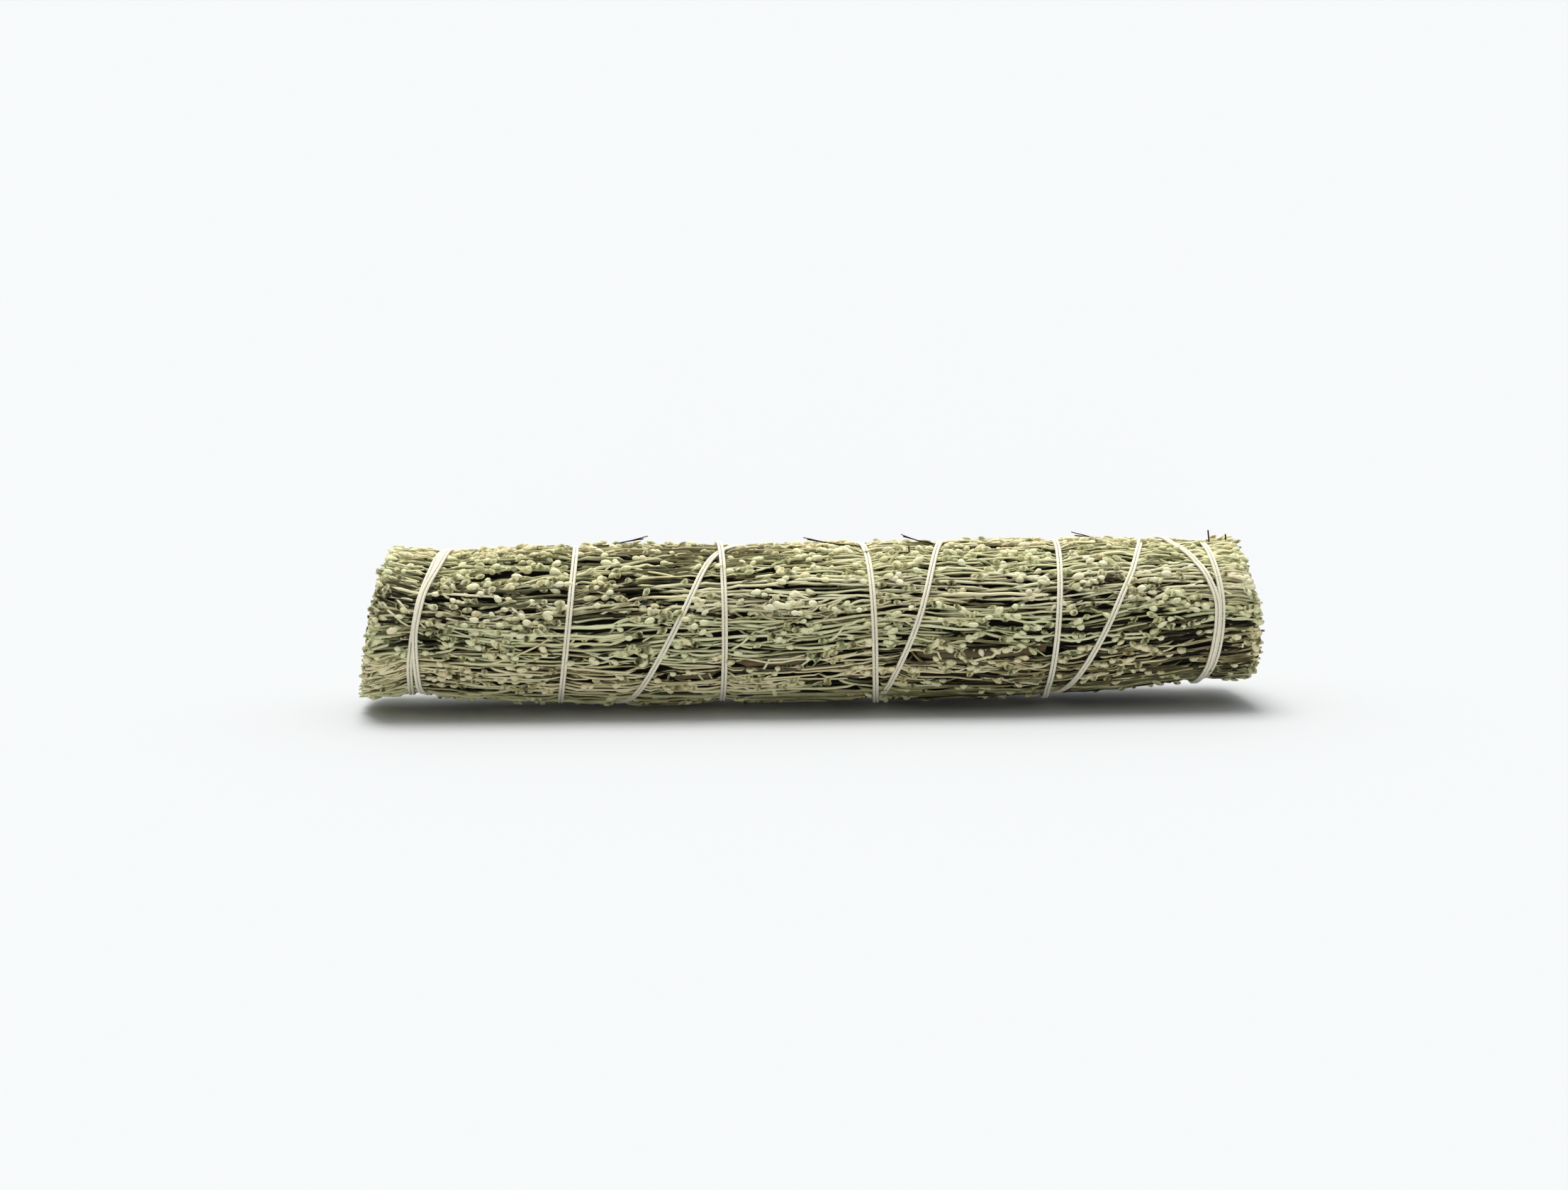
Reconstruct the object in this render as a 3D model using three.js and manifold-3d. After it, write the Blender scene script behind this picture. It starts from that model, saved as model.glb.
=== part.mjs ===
// A smudge stick: sprigs of dried desert sage laid side by side, cut at both ends and bound
// with doubled cotton string, which winds out along the bundle and back and is knotted behind.
// Millimetres. X runs along the bundle, the front faces -Y, Z is up, and the flattened
// underside rests at Z = 0 under the origin.
import * as THREE from "three";
import { mergeVertices } from "three/addons/utils/BufferGeometryUtils.js";
import Module from "manifold-3d";

const wasm = await Module();
wasm.setup();

// Outline of the whole bundle, as [x, radius, height of its centre line].
const OUTLINE = [
  [-110, 18.9, 21.5],
  [-96, 18.4, 21.2],
  [-75, 19.3, 20.4],
  [-48, 20.1, 20.2],
  [-10, 19.7, 20.3],
  [30, 20.0, 20.6],
  [55, 19.8, 20.9],
  [78, 18.8, 21.5],
  [96, 17.9, 22.3],
  [110, 17.7, 22.8],
];
const COAT = 1.9; // height of the twigs and buds above the packed stems
const MIDDLE_CORE_RADIUS = 18;

// The cut ends: reach at the middle, how much the rim falls short of it, and the slant of the cut.
const LEFT_END = { reach: -108.2, dome: 2.6, tilt: 4.0, tiltToward: -60 };
const RIGHT_END = { reach: 108.2, dome: 2.4, tilt: 3.0, tiltToward: -40 };
const CORE_RECESS = 4.2; // the packed stems stop this far inside the reach of the cut stem ends

// Rings of sprigs round the woody heart stem.
const OUTER_SPRIGS = 12;
const INNER_SPRIGS = 6;
// The rows of cut stems at their ends are pairs of share of the radius and count.
const OUTER_RING = {
  from: 9.9,
  to: 18,
  ridges: 4,
  grooveDepth: 1.1,
  steps: 9,
  stubRows: [[0.9, 2], [0.68, 2]],
};
const INNER_RING = {
  from: 3.3,
  to: 9.0,
  ridges: 2,
  grooveDepth: 0.8,
  steps: 4,
  stubRows: [[0.82, 2], [0.55, 1]],
};
const HEART = { radius: 2.3, sides: 8 };
const GAP = 0.34; // left between neighbouring sprigs
const TWIST = { angle: 4, wave: 52 }; // the sprigs sway round the bundle by this many degrees

// How the packed stems ripple: the outer faces within a depth swell along and across the sprig.
const RIPPLE = { depth: 2, swell: 0.3, swellWave: 9, acrossPerDegree: 1.7, drift: 1.5, driftWave: 15 };

// Twigs, buds and leaves on the outside. They grow in lanes, between the passes of the string.
const TWIG = {
  radius: 0.5,
  sides: 4,
  longest: 25,
  shortest: 8,
  shortestShare: 0.45,
  rise: 6,
  riseShare: 0.3,
};
const BUD = {
  radius: 0.95,
  smallest: 0.9,
  largest: 1.15,
  slimness: 1.25,
  sunk: 0.05,
  neck: 2.9,
  shoulder: 1.3,
};
const LANES = 3;
const LANE_MARGIN = 5; // degrees of a sprig's width left free of lanes
const LANE_REACH = 98;
const LANE_STEP = 0.5;
const LANE_SPREAD = [-5, 0, 5]; // degrees across a lane where it is kept clear of the string
const GROWTH = { least: 3, rightward: 0.55, twigs: 0.55, leaves: 0.12, drift: 0.015, gap: 4 };
const LEAF = {
  length: 12,
  halfWidth: 1.15,
  thickness: 0.6,
  rootHalfWidth: 0.4,
  root: -1.3,
  arch: 2.3,
  archShare: 0.7,
};

// The leaf's outline from its widest tooth down, as shares of its half width and its length.
const LEAF_OUTLINE = { waist: [0.65, 0.55], tooth: [1, 0.86], notch: [0.45, 0.84] };

// Cut stem ends that stand out of the packed stems.
const STUB = { radius: 0.85, sides: 4, spreadShare: 0.74, raggedIn: -1.6, raggedOut: 1.1, rooted: 2.5 };

// Stems pressed flat under the bundle: degrees from straight down, and how far along they reach.
const PRESSED = {
  offsets: [-11, -5.5, 0, 5.5, 11],
  from: -60,
  to: 52,
  radius: 1.15,
  sides: 5,
  shortest: 8,
  margin: 0.5,
  root: -1.2,
  rise: 2.9,
  riseShare: 0.3,
};
const TABLE = { length: 400, width: 200, depth: 20 };

// Twigs that stray from the top of the bundle, as [x of the root, angle, length, lift, direction].
const STRAY_TWIGS = [
  [-54, 92, 14, 2.6, 1],
  [11, 88, 13, 2.2, -1],
  [30, 88, 8, 2.4, -1],
  [78, 104, 13, 2.2, -1],
];

// The string: two strands side by side.
const STRAND_RADIUS = 0.4;
const STRING_FLOAT = 0.55; // clearance between the packed stems and the string
const STRING_START_ANGLE = -80; // the underside edge as seen from the front, where the count starts
const STEPS_PER_HALF_TURN = 10;
const TWIG_CLEAR = 2.1; // a twig's end keeps this far from the middle of the string

// The string's section, in strand radii: half width, edge, top of each strand and the groove between.
const STRING_SECTION = { halfWidth: 2, edge: -0.1, crest: 1, groove: 0.15 };

// A pass that touches an earlier one is lifted by a layer, level over it and eased to each side.
const LIFT = { layer: 1.0, touching: 1.95, level: 0.075, ease: 0.09, fine: 0.0125 };

const KNOT = {
  size: 1.15,
  segments: 30,
  sides: 6,
  loops: [2, 3],
  tail: 6,
  tailFrom: 0.6,
  tailDip: 0.3,
  tailSpread: [-0.4, 2.4],
  tailSteps: 3,
};

// Where the string is at each half turn round the bundle, as [half turns, x].
const STRING_ROUTE = [
  [-0.4, -91.5],
  [0, -98],
  [0.25, -98],
  [0.55, -95.9],
  [0.8, -92],
  [1, -89.8],
  [1.35, -93.5],
  [2, -93.8],
  [2.2, -96],
  [2.42, -96.5],
  [2.6, -94.7],
  [2.77, -90.7],
  [3, -86.6],
  [4, -47.6],
  [4.3, -39.5],
  [4.6, -30.5],
  [4.8, -25.2],
  [5, -17.6],
  [6, 14.9],
  [6.27, 19.6],
  [6.56, 25.9],
  [6.9, 31],
  [7, 32.6],
  [8, 59.8],
  [8.26, 65.7],
  [8.56, 73.8],
  [8.72, 77.9],
  [9, 82.2],
  [10, 96.4],
  [10.5, 99.1],
  [10.8, 97.4],
  [11, 96.2],
  [12, 94.8],
  [12.25, 96.7],
  [12.5, 97.8],
  [12.7, 94.6],
  [13, 86.4],
  [14, 57.4],
  [15, 60.3],
  [16, 15.8],
  [17, 12.2],
  [18, -22.2],
  [18.5, -22.1],
  [19, -22.7],
  [20, -61.8],
  [21, -57.6],
  [21.5, -89.5],
];
const TURNS_TO_KNOT = 22; // half turns from the string's first end round to beside its last

// Thick woody stems that show between the twigs, as [x from, x to, angle, radius].
const WOODY_STEMS = [
  [24.8, 56, -20, 1.5],
  [-35.2, -24, -31, 1.3],
  [-19, -1, -22, 1.0],
];
const WOODY = { sides: 8, steps: 3, taper: 0.92, sunk: 0.25 };

const COLOURS = {
  sage: [0x9a9a72, 0x8f9168, 0xa29f79, 0x878b66],
  heart: 0x8c8263,
  woody: 0x8a7358,
  string: 0xe3ddc3,
};

// The same random draws each run.
let seed = 20817;
function random(low = 0, high = 1) {
  seed = (seed + 0x6d2b79f5) | 0;
  let t = Math.imul(seed ^ (seed >>> 15), 1 | seed);
  t = (t + Math.imul(t ^ (t >>> 7), 61 | t)) ^ t;
  return low + (high - low) * (((t ^ (t >>> 14)) >>> 0) / 4294967296);
}

// A smooth curve through stations [at, value, ...], which never swings past them.
function through(stations, at, column = 1) {
  const last = stations.length - 2;
  let i = 0;
  while (i < last && at > stations[i + 1][0]) i += 1;
  const secant = (k) =>
    (stations[k + 1][column] - stations[k][column]) / (stations[k + 1][0] - stations[k][0]);
  const slope = (k) => {
    if (k <= 0) return secant(0);
    if (k > last) return secant(last);
    const [before, after] = [secant(k - 1), secant(k)];
    return before * after <= 0 ? 0 : (2 * before * after) / (before + after);
  };
  const span = stations[i + 1][0] - stations[i][0];
  const t = THREE.MathUtils.clamp((at - stations[i][0]) / span, 0, 1);
  const [t2, t3] = [t * t, t * t * t];
  return (
    stations[i][column] * (2 * t3 - 3 * t2 + 1) +
    span * slope(i) * (t3 - 2 * t2 + t) +
    stations[i + 1][column] * (3 * t2 - 2 * t3) +
    span * slope(i + 1) * (t3 - t2)
  );
}

const coreRadius = (x) => through(OUTLINE, x) - COAT;
const centreHeight = (x) => through(OUTLINE, x, 2);
const sway = (x) => TWIST.angle * Math.sin(x / TWIST.wave);

// A point at an angle (0 in front, 90 on top) and a distance from the centre line.
function around(x, angle, radius) {
  const turn = THREE.MathUtils.degToRad(angle);
  return new THREE.Vector3(
    x,
    -radius * Math.cos(turn),
    centreHeight(x) + radius * Math.sin(turn),
  );
}

// How far the stems reach at an end, for a direction and a share of the radius.
function endReach(end, angle, share) {
  const outward = Math.sign(end.reach);
  const slant = end.tilt * Math.cos(THREE.MathUtils.degToRad(angle - end.tiltToward));
  return end.reach + outward * share * (slant - end.dome * share);
}

// Moves each vertex of a geometry by a function of its position.
function reshape(geometry, move) {
  const place = geometry.attributes.position;
  const point = new THREE.Vector3();
  for (let i = 0; i < place.count; i += 1) {
    const moved = move(point.fromBufferAttribute(place, i));
    place.setXYZ(i, moved.x, moved.y, moved.z);
  }
  return geometry;
}

// A closed geometry as a solid that can be joined and cut, with its faces turned outward.
function solid(geometry) {
  const bare = geometry.clone();
  bare.deleteAttribute("normal");
  bare.deleteAttribute("uv");
  const merged = mergeVertices(bare, 1e-4);
  const vertProperties = new Float32Array(merged.attributes.position.array);
  const triVerts = [];
  for (let i = 0; i < merged.index.count; i += 3) {
    const [a, b, c] = [0, 1, 2].map((k) => merged.index.getX(i + k));
    if (a !== b && b !== c && c !== a) triVerts.push(a, b, c);
  }
  const wrap = (triangles) =>
    new wasm.Manifold(
      new wasm.Mesh({ numProp: 3, vertProperties, triVerts: new Uint32Array(triangles) }),
    );
  const made = wrap(triVerts);
  return made.volume() > 0 ? made : wrap(triVerts.reverse());
}

const bundle = new THREE.Group();

// Adds the largest body of a solid as a named piece: loose scraps are dropped.
function addPiece(name, made, colour, roughness = 0.9) {
  const [largest] = made.decompose().sort((a, b) => b.volume() - a.volume());
  const mesh = largest.getMesh();
  const geometry = new THREE.BufferGeometry();
  geometry.setAttribute("position", new THREE.BufferAttribute(mesh.vertProperties, 3));
  geometry.setIndex(new THREE.BufferAttribute(mesh.triVerts, 1));
  geometry.computeVertexNormals();
  const finish = new THREE.MeshStandardMaterial({ color: colour, roughness, metalness: 0 });
  const piece = new THREE.Mesh(geometry, finish);
  piece.name = name;
  bundle.add(piece);
}

// The string's x for a count of half turns, and its angle round the bundle.
const stringX = (halfTurns) => through(STRING_ROUTE, halfTurns);
const stringAngle = (halfTurns) => STRING_START_ANGLE + 180 * halfTurns;
const FIRST_TURN = STRING_ROUTE[0][0];
const LAST_TURN = STRING_ROUTE[STRING_ROUTE.length - 1][0];

// The x of every pass of the string at an angle round the bundle.
function passesAt(angle) {
  const passes = [];
  const offset = THREE.MathUtils.euclideanModulo(angle - STRING_START_ANGLE, 360) / 180;
  for (let n = offset - 2; n <= LAST_TURN; n += 2)
    if (n >= FIRST_TURN) passes.push(stringX(n));
  return passes;
}

// The lift of the string: one layer where it crosses an earlier pass, eased in and out.
function stringLift(halfTurns) {
  const { layer, touching, level, ease, fine } = LIFT;
  let lift = 0;
  for (let shift = -level - ease; shift <= level + ease; shift += fine) {
    const n = halfTurns + shift;
    if (n < FIRST_TURN || n > LAST_TURN) continue;
    let meets = false;
    for (let earlier = n - 2; earlier >= FIRST_TURN; earlier -= 2)
      meets ||= Math.abs(stringX(n) - stringX(earlier)) < touching;
    if (!meets) continue;
    const away = Math.max(0, Math.abs(shift) - level) / ease;
    lift = Math.max(lift, layer * (0.5 + 0.5 * Math.cos(Math.PI * Math.min(1, away))));
  }
  return lift;
}

// A point on the string's centre line.
function stringPoint(halfTurns) {
  const x = stringX(halfTurns);
  const radius = coreRadius(x) + STRING_FLOAT + STRAND_RADIUS + stringLift(halfTurns);
  return around(x, stringAngle(halfTurns), radius);
}

// The doubled string: a two-lobed bar, bent along its route with its flat side on the herbs.
function doubledString() {
  const { halfWidth, edge, crest, groove } = STRING_SECTION;
  const corners = [
    [-halfWidth, edge],
    [0, -crest],
    [halfWidth, edge],
    [crest, crest],
    [0, groove],
    [-crest, crest],
  ];
  const section = new THREE.Shape(
    corners.map(([u, v]) => new THREE.Vector2(u * STRAND_RADIUS, v * STRAND_RADIUS)),
  );
  const steps = Math.round((LAST_TURN - FIRST_TURN) * STEPS_PER_HALF_TURN);
  const bar = new THREE.ExtrudeGeometry(section, { depth: 1, steps, bevelEnabled: false });
  const nudge = 0.01;
  return reshape(bar, (p) => {
    const n = THREE.MathUtils.lerp(FIRST_TURN, LAST_TURN, p.z);
    const here = stringPoint(n);
    const along = stringPoint(n + nudge).sub(stringPoint(n - nudge)).normalize();
    const turn = THREE.MathUtils.degToRad(stringAngle(n));
    const out = new THREE.Vector3(0, -Math.cos(turn), Math.sin(turn));
    const across = new THREE.Vector3().crossVectors(out, along).normalize();
    return here.addScaledVector(across, p.x).addScaledVector(out, p.y);
  });
}

// The packed stems of one sprig: a fluted wedge, bent to the bundle's outline and its cut ends.
function packedStems(ring, middle, width) {
  const halfOut = width / 2 - THREE.MathUtils.radToDeg(GAP / 2 / ring.to);
  const halfIn = width / 2 - THREE.MathUtils.radToDeg(GAP / 2 / ring.from);
  const points = [new THREE.Vector2(-halfIn, ring.from), new THREE.Vector2(halfIn, ring.from)];
  const corners = 2 * ring.ridges;
  for (let i = 0; i <= corners; i += 1) {
    const groove = i % 2 === 0;
    const angle = halfOut * (1 - (2 * i) / corners);
    points.push(new THREE.Vector2(angle, ring.to - (groove ? ring.grooveDepth : 0)));
  }
  const wedge = new THREE.ExtrudeGeometry(new THREE.Shape(points), {
    depth: 1,
    steps: ring.steps,
    bevelEnabled: false,
  });
  const phase = random(0, 360);
  return reshape(wedge, (p) => {
    const inside = 1 - (p.x / halfOut) ** 2;
    const outer = p.y > ring.to - RIPPLE.depth ? 1 : 0;
    const angle0 = middle + p.x;
    const share = p.y / MIDDLE_CORE_RADIUS;
    const low = endReach(LEFT_END, angle0, share) + CORE_RECESS;
    const high = endReach(RIGHT_END, angle0, share) - CORE_RECESS;
    const x = THREE.MathUtils.lerp(low, high, p.z);
    const wave = Math.sin(x / RIPPLE.swellWave + p.x * RIPPLE.acrossPerDegree + phase);
    const drift = outer * Math.max(0, inside) * RIPPLE.drift * Math.sin(x / RIPPLE.driftWave + phase);
    const packed = p.y - outer * RIPPLE.swell * (1 - wave);
    return around(x, angle0 + drift + sway(x), (coreRadius(x) * packed) / MIDDLE_CORE_RADIUS);
  });
}

// Lays a small geometry on the bundle. Its own y runs along the bundle from x in the direction
// given, its x goes round the bundle and its z outward from the packed stems.
function laid(geometry, { x, angle, direction, drift = 0, height }) {
  return reshape(geometry, (p) => {
    const at = x + direction * p.y;
    const base = coreRadius(at);
    const turn = angle + sway(at) + THREE.MathUtils.radToDeg((p.x + drift * p.y) / base);
    return around(at, turn, base + height(p.y) + p.z);
  });
}

// A twig with a bud at its tip, whose root sinks into the packed stems. A stray one lifts its tip.
function twig(length, place, stray = 0) {
  const rise = Math.min(TWIG.riseShare * length, TWIG.rise);
  const profile = [
    [0, 0],
    [TWIG.radius, rise],
    [TWIG.radius, length - BUD.neck],
    [random(BUD.smallest, 1) * BUD.radius, length - BUD.shoulder],
    [0, length],
  ].map(([r, y]) => new THREE.Vector2(r, y));
  const straight = new THREE.LatheGeometry(profile, TWIG.sides);
  const height = (along) =>
    BUD.radius * Math.min(1, 2 * (along / rise) - 1) + stray * (along / length) ** 2;
  return laid(straight, { ...place, height });
}

// A bud that sits on the packed stems.
function bud(place) {
  const round = new THREE.OctahedronGeometry(random(BUD.smallest, BUD.largest) * BUD.radius, 0);
  round.scale(1, BUD.slimness, 1);
  return laid(round, { ...place, height: () => BUD.sunk });
}

// A wedge-shaped leaf with three teeth at its tip, rooted in the packed stems.
function leaf(place) {
  const { length, halfWidth, thickness, rootHalfWidth, root, arch, archShare } = LEAF;
  const { waist, tooth, notch } = LEAF_OUTLINE;
  const side = [waist, tooth, notch].map(([u, v]) => [u * halfWidth, v * length]);
  const mirrored = side.map(([u, v]) => [-u, v]).reverse();
  const outline = [[-rootHalfWidth, 0], [rootHalfWidth, 0], ...side, [0, length], ...mirrored];
  const shape = new THREE.Shape(outline.map(([u, v]) => new THREE.Vector2(u, v)));
  const blade = new THREE.ExtrudeGeometry(shape, { depth: thickness, steps: 1, bevelEnabled: false });
  const height = (along) =>
    root + arch * Math.sin((Math.PI / 2) * Math.min(1, along / (archShare * length)));
  return laid(blade, { ...place, height });
}

// The stretches of a lane, at an angle, that the string leaves free.
function freeStretches(angle) {
  const stretches = [];
  let from = null;
  for (let x = -LANE_REACH; x <= LANE_REACH; x += LANE_STEP) {
    const free = LANE_SPREAD.every((spread) =>
      passesAt(angle + sway(x) + spread).every((pass) => Math.abs(pass - x) > TWIG_CLEAR),
    );
    if (free && from === null) from = x;
    if ((!free || x === LANE_REACH) && from !== null) {
      stretches.push([from, x]);
      from = null;
    }
  }
  return stretches;
}

// The twigs, buds and leaves that stand out of one sprig, in lanes side by side.
function coat(middle, width, underneath) {
  const parts = [];
  for (let lane = 0; lane < LANES; lane += 1) {
    const angle = middle + (lane - (LANES - 1) / 2) * ((width - LANE_MARGIN) / LANES);
    for (const [from, to] of freeStretches(angle)) {
      const pressed = underneath && to > PRESSED.from && from < PRESSED.to;
      let start = pressed ? to : from;
      while (to - start > GROWTH.least) {
        const length = Math.min(to - start, random(TWIG.shortestShare, 1) * TWIG.longest);
        const direction = random() < GROWTH.rightward ? 1 : -1;
        const x = direction > 0 ? start : start + length;
        const place = { x, angle, direction, drift: random(-GROWTH.drift, GROWTH.drift) };
        const draw = random();
        if (length > TWIG.shortest && draw < GROWTH.twigs) parts.push(twig(length, place));
        else if (length > LEAF.length && draw < GROWTH.twigs + GROWTH.leaves) parts.push(leaf(place));
        else parts.push(bud({ x: start + length / 2, angle, direction }));
        start += length + random(0, GROWTH.gap);
      }
    }
  }
  return parts;
}

// The cut ends of stems that stand out of one end of a sprig.
function stubs(ring, middle, width, end) {
  const outward = Math.sign(end.reach);
  const parts = [];
  for (const [share, count] of ring.stubRows) {
    for (let i = 0; i < count; i += 1) {
      const spread = (width * STUB.spreadShare) / count;
      const angle = middle + (i - (count - 1) / 2) * spread;
      const full = (share * ring.to) / MIDDLE_CORE_RADIUS;
      const tip = endReach(end, angle, full) + outward * random(STUB.raggedIn, STUB.raggedOut);
      const root = endReach(end, angle, full) - outward * (CORE_RECESS + STUB.rooted);
      const cut = new THREE.CylinderGeometry(STUB.radius, STUB.radius, 1, STUB.sides);
      parts.push(
        reshape(cut, (p) => {
          const x = THREE.MathUtils.lerp(root, tip, p.y + 0.5);
          const centre = full * coreRadius(x);
          const turn = angle + sway(x) + THREE.MathUtils.radToDeg(p.x / centre);
          return around(x, turn, centre + p.z);
        }),
      );
    }
  }
  return parts;
}

// The table under the bundle, which presses the lowest twigs flat.
function table() {
  const slab = new THREE.BoxGeometry(TABLE.length, TABLE.width, TABLE.depth);
  slab.translate(0, 0, -TABLE.depth / 2);
  return solid(slab);
}

// Twigs side by side under the bundle, where its weight presses them flat.
function pressedTwigs(middle) {
  const parts = [];
  for (const offset of PRESSED.offsets) {
    const lower = MIDDLE_CORE_RADIUS * (1 / Math.cos(THREE.MathUtils.degToRad(offset)) - 1);
    for (const [from, to] of freeStretches(middle + offset)) {
      if (to < PRESSED.from || from > PRESSED.to || to - from < PRESSED.shortest) continue;
      const length = to - from - 2 * PRESSED.margin;
      const stem = new THREE.CylinderGeometry(PRESSED.radius, PRESSED.radius, length, PRESSED.sides, 3);
      stem.translate(0, length / 2, 0);
      const height = (along) => {
        const inward = Math.min(along, length - along) / (PRESSED.riseShare * length);
        return PRESSED.root + lower + PRESSED.rise * Math.min(1, inward);
      };
      const x = from + PRESSED.margin;
      parts.push(laid(stem, { x, angle: middle + offset, direction: 1, height }));
    }
  }
  return parts;
}

// A woody stem lying among the twigs, and the channel that it lies in.
function woodyStem([from, to, angle, radius], clearance = 0) {
  const length = to - from + 2 * clearance;
  const thick = radius + clearance;
  const thin = radius * WOODY.taper + clearance;
  const bar = new THREE.CylinderGeometry(thick, thin, length, WOODY.sides, WOODY.steps);
  bar.translate(0, length / 2, 0);
  return laid(bar, { x: from - clearance, angle, direction: 1, height: () => WOODY.sunk });
}

function buildSprig(name, ring, middle, width, colour) {
  const parts = [packedStems(ring, middle, width)];
  for (const end of [LEFT_END, RIGHT_END]) parts.push(...stubs(ring, middle, width, end));
  if (ring === INNER_RING) {
    addPiece(name, wasm.Manifold.union(parts.map(solid)), colour);
    return;
  }
  const underneath = middle === -90;
  parts.push(...coat(middle, width, underneath));
  if (underneath) parts.push(...pressedTwigs(middle));
  for (const [x, angle, length, lift, direction] of STRAY_TWIGS)
    if (Math.abs(angle - middle) < width / 2) parts.push(twig(length, { x, angle, direction }, lift));
  let made = wasm.Manifold.union(parts.map(solid)).subtract(table());
  for (const stem of WOODY_STEMS) made = made.subtract(solid(woodyStem(stem, GAP)));
  addPiece(name, made, colour);
}

function buildRing(name, ring, count) {
  const width = 360 / count;
  for (let i = 0; i < count; i += 1) {
    const middle = -90 + i * width;
    const number = String(i + 1).padStart(2, "0");
    buildSprig(`${name}_${number}`, ring, middle, width, COLOURS.sage[i % COLOURS.sage.length]);
  }
}

// The thick stem at the heart of the bundle, cut off level with the rest.
function heartStem() {
  const bar = new THREE.CylinderGeometry(HEART.radius, HEART.radius, 1, HEART.sides, INNER_RING.steps);
  return reshape(bar, (p) => {
    const x = THREE.MathUtils.lerp(LEFT_END.reach, RIGHT_END.reach, p.y + 0.5);
    return new THREE.Vector3(x, -p.x, p.z + centreHeight(x));
  });
}

// The knot that holds the two ends of the string, a trefoil with two short tails.
function stringKnot() {
  const turn = (stringAngle(LAST_TURN) + stringAngle(FIRST_TURN + TURNS_TO_KNOT)) / 2;
  const x = (stringX(LAST_TURN) + stringX(FIRST_TURN)) / 2;
  const base = coreRadius(x) + STRING_FLOAT + KNOT.size / 2 + STRAND_RADIUS;
  const lie = (across, along, out) =>
    around(x + across, turn + THREE.MathUtils.radToDeg(along / base), base + out);
  const { size, segments, sides, loops, tail, tailFrom, tailDip, tailSteps } = KNOT;
  const trefoil = new THREE.TorusKnotGeometry(size, STRAND_RADIUS, segments, sides, ...loops);
  const parts = [reshape(trefoil, (p) => lie(p.x, p.y, p.z))];
  for (const spread of KNOT.tailSpread) {
    const end = new THREE.CylinderGeometry(STRAND_RADIUS, STRAND_RADIUS, 1, sides, tailSteps);
    parts.push(
      reshape(end, (p) => {
        const t = p.y + 0.5;
        return lie(p.x + spread * Math.sqrt(t), tailFrom + tail * t, p.z - tailDip * t);
      }),
    );
  }
  return wasm.Manifold.union(parts.map(solid));
}

buildRing("sprig", OUTER_RING, OUTER_SPRIGS);
buildRing("inner_sprig", INNER_RING, INNER_SPRIGS);
addPiece("heart_stem", solid(heartStem()), COLOURS.heart);
WOODY_STEMS.forEach((stem, i) =>
  addPiece(`woody_stem_${i + 1}`, solid(woodyStem(stem)), COLOURS.woody),
);
addPiece("string", solid(doubledString()), COLOURS.string, 0.85);
addPiece("string_knot", stringKnot(), COLOURS.string, 0.85);

export default bundle;
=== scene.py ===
"""The looks of a sage smudge stick: dried sprigs bound with doubled cotton string.

Sizes are in millimetres and are turned into metres as each mesh is finished. X runs along the
bundle, the front faces -Y and Z is up. An angle round the bundle is 0 in front and 90 on top.
"""

import logging
import math
import random
from bisect import bisect_right
from dataclasses import dataclass, field
from enum import Enum
from typing import Callable, Sequence

import bmesh
import bpy
from mathutils import Matrix, Vector, noise


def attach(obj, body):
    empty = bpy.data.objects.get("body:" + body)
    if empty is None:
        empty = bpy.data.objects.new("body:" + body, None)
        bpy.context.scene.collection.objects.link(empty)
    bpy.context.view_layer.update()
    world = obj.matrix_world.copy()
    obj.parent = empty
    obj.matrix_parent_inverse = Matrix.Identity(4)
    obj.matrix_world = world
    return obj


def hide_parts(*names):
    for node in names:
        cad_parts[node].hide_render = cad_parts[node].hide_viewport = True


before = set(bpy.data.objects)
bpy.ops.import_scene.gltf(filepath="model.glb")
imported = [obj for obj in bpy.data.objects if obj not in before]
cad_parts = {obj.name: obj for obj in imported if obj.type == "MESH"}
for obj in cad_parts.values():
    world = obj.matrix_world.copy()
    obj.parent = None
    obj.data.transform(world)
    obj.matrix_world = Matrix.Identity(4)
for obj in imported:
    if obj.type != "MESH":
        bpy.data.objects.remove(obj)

log = logging.getLogger("smudge_stick")

# A least and a greatest value.
Range = tuple[float, float]
# A position and the value there.
Station = tuple[float, float]
# A place on the bundle: x, direction round it in degrees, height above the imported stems.
Spot = tuple[float, float, float]
# A place, or a thickness, at a share of a stem's length.
Route = Callable[[float], Spot]
Profile = Callable[[float], float]
Colour = tuple[float, float, float]

MM = 0.001
BODY = "root"
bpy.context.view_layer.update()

# Outline of the whole bundle: x, radius, height of its centre line.
OUTLINE = (
    (-110.0, 18.9, 21.5),
    (-96.0, 18.4, 21.2),
    (-75.0, 19.3, 20.4),
    (-48.0, 20.1, 20.2),
    (-10.0, 19.7, 20.3),
    (30.0, 20.0, 20.6),
    (55.0, 19.8, 20.9),
    (78.0, 18.8, 21.5),
    (96.0, 17.9, 22.3),
    (110.0, 17.7, 22.8),
)

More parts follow.
